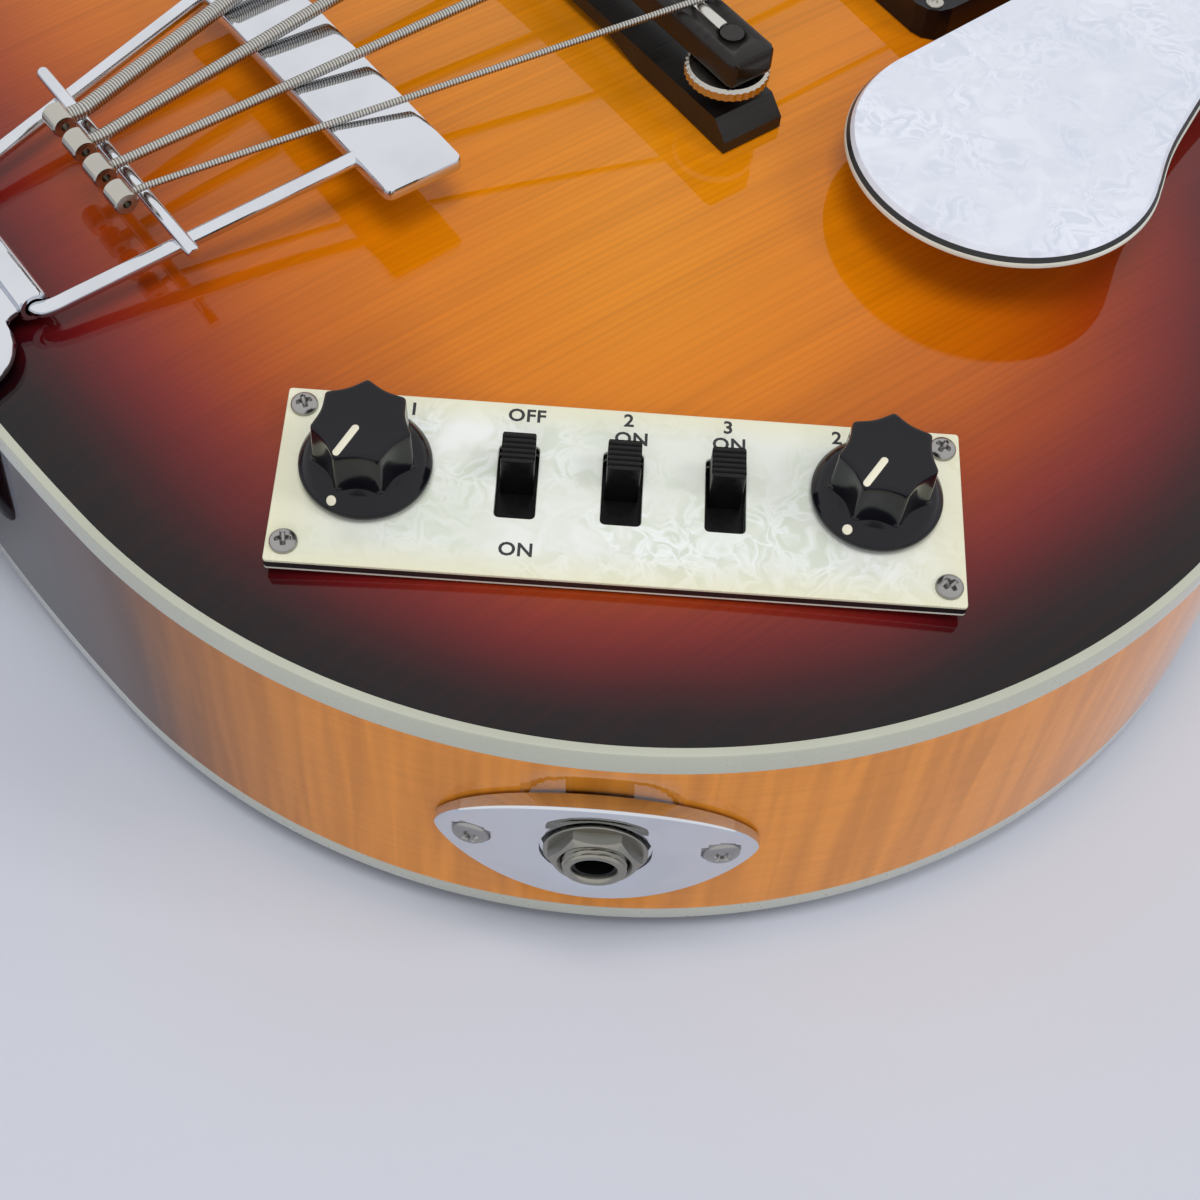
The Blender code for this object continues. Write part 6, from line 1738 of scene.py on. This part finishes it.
@dataclass
class Studio:
    """Camera at the photograph's angle, a pale floor and soft light."""

    eye: tuple[float, float, float] = (215.5, -172.5, 276.1)
    ahead: tuple[float, float, float] = (-0.4265, 0.3765, -0.8224)
    right: tuple[float, float, float] = (0.5965, 0.8006, 0.0571)
    lens: float = 57.0

    def build(self) -> None:
        """Make the camera, the floor, the lamps and the world."""
        ahead = Vector(self.ahead).normalized()
        right = Vector(self.right)
        right = (right - ahead * right.dot(ahead)).normalized()
        up = right.cross(ahead)
        camera = bpy.data.objects.new("camera", bpy.data.cameras.new("camera"))
        camera.data.lens = self.lens
        camera.data.sensor_width = 36.0
        camera.data.clip_start = 0.01
        turn = Matrix((right, up, -ahead)).transposed().to_4x4()
        camera.matrix_world = Matrix.Translation(Vector(self.eye) * MM) @ turn
        bpy.context.scene.collection.objects.link(camera)
        bpy.context.scene.camera = camera
        self.floor()
        self.lamp("key_softbox", (0.35, -0.3, 2.0), (0.9, 0.9), 18.0)
        self.lamp("front_softbox", (1.4, -1.2, 0.9), (1.4, 1.4), 9.0)
        self.lamp("fill_softbox", (1.2, 1.0, 1.6), (0.6, 0.6), 8.0)
        self.world()
        bpy.context.scene.view_settings.view_transform = "Standard"

    def floor(self) -> None:
        """A wide pale sheet that carries the object's shadow."""
        half = 3000.0
        grid = np.array([[[-half, -half, 0], [half, -half, 0]], [[-half, half, 0], [half, half, 0]]], float)
        plane = make_piece("floor", [Skin(grid, ring_columns=False, capped=False)], [Cloth("floor_cloth")])
        for face in plane.data.polygons:
            if face.normal.z < 0:
                plane.data.flip_normals()
                break

    def lamp(self, name: str, spot: tuple[float, float, float], size: tuple[float, float],
             power: float) -> None:
        """A soft area lamp in metres and watts that points at the body."""
        data = bpy.data.lights.new(name, "AREA")
        data.shape = "RECTANGLE"
        data.size, data.size_y = size
        data.energy = power
        lamp = bpy.data.objects.new(name, data)
        lamp.location = spot
        lamp.visible_glossy = False
        lamp.rotation_euler = (Vector((0.05, 0.0, 0.05)) - Vector(spot)).to_track_quat("-Z", "Y").to_euler()
        bpy.context.scene.collection.objects.link(lamp)

    def world(self) -> None:
        """Plain soft light, and white where the camera, gloss or glass sees the surroundings."""
        world = bpy.data.worlds.new("studio")
        bpy.context.scene.world = world
        world.use_nodes = True
        nodes, links = world.node_tree.nodes, world.node_tree.links
        nodes.clear()
        soft, white = nodes.new("ShaderNodeBackground"), nodes.new("ShaderNodeBackground")
        soft.inputs["Color"].default_value = shade(244, 248, 255)
        soft.inputs["Strength"].default_value = 0.42
        white.inputs["Color"].default_value = (1, 1, 1, 1)
        path = nodes.new("ShaderNodeLightPath")
        first, second = nodes.new("ShaderNodeMath"), nodes.new("ShaderNodeMath")
        first.operation = second.operation = "MAXIMUM"
        links.new(path.outputs["Is Camera Ray"], first.inputs[0])
        links.new(path.outputs["Is Glossy Ray"], first.inputs[1])
        links.new(first.outputs[0], second.inputs[0])
        links.new(path.outputs["Is Transmission Ray"], second.inputs[1])
        pick, out = nodes.new("ShaderNodeMixShader"), nodes.new("ShaderNodeOutputWorld")
        links.new(second.outputs[0], pick.inputs[0])
        links.new(soft.outputs[0], pick.inputs[1])
        links.new(white.outputs[0], pick.inputs[2])
        links.new(pick.outputs[0], out.inputs["Surface"])


@dataclass(frozen=True)
class Cloth(Finish):
    """Pale floor cover with a faint nap."""

    colour: Colour = shade(206, 209, 218)

    def paint(self, graph: Graph) -> None:
        """Two pale greys mixed by soft noise, with a slight nap in the surface."""
        nap = graph.noise(graph.spot(), 260.0, 3.0)
        broad = graph.noise(graph.spot(), 5.0, 2.0)
        colour = graph.mix(graph.span(broad, 0.3, 0.7), self.colour, shade(200, 203, 213))
        graph.surface({"Base Color": colour, "Roughness": 0.9, "Specular IOR Level": 0.1,
                       "Normal": graph.bump(nap, 0.12, 0.4)})


def main() -> None:
    """Build the classes in order and report each piece."""
    logging.basicConfig(level=logging.INFO, format="%(message)s")
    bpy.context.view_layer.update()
    Studio().build()
    HollowBody().build()
    ControlPanel().build()
    JackSet().build()
    tailpiece = Tailpiece()
    tailpiece.build()
    Bridge().build()
    StringSet(tailpiece).build()
    for pickup in (Pickup("bridge", 62.0, 73.5), Pickup("neck", 178.0, 71.0)):
        pickup.build()
    Pickguard().build()
    Neck().build()
    Tuners().build()
    StrapButtons().build()
    dress_kept_nodes()


if __name__ == "__main__":
    main()
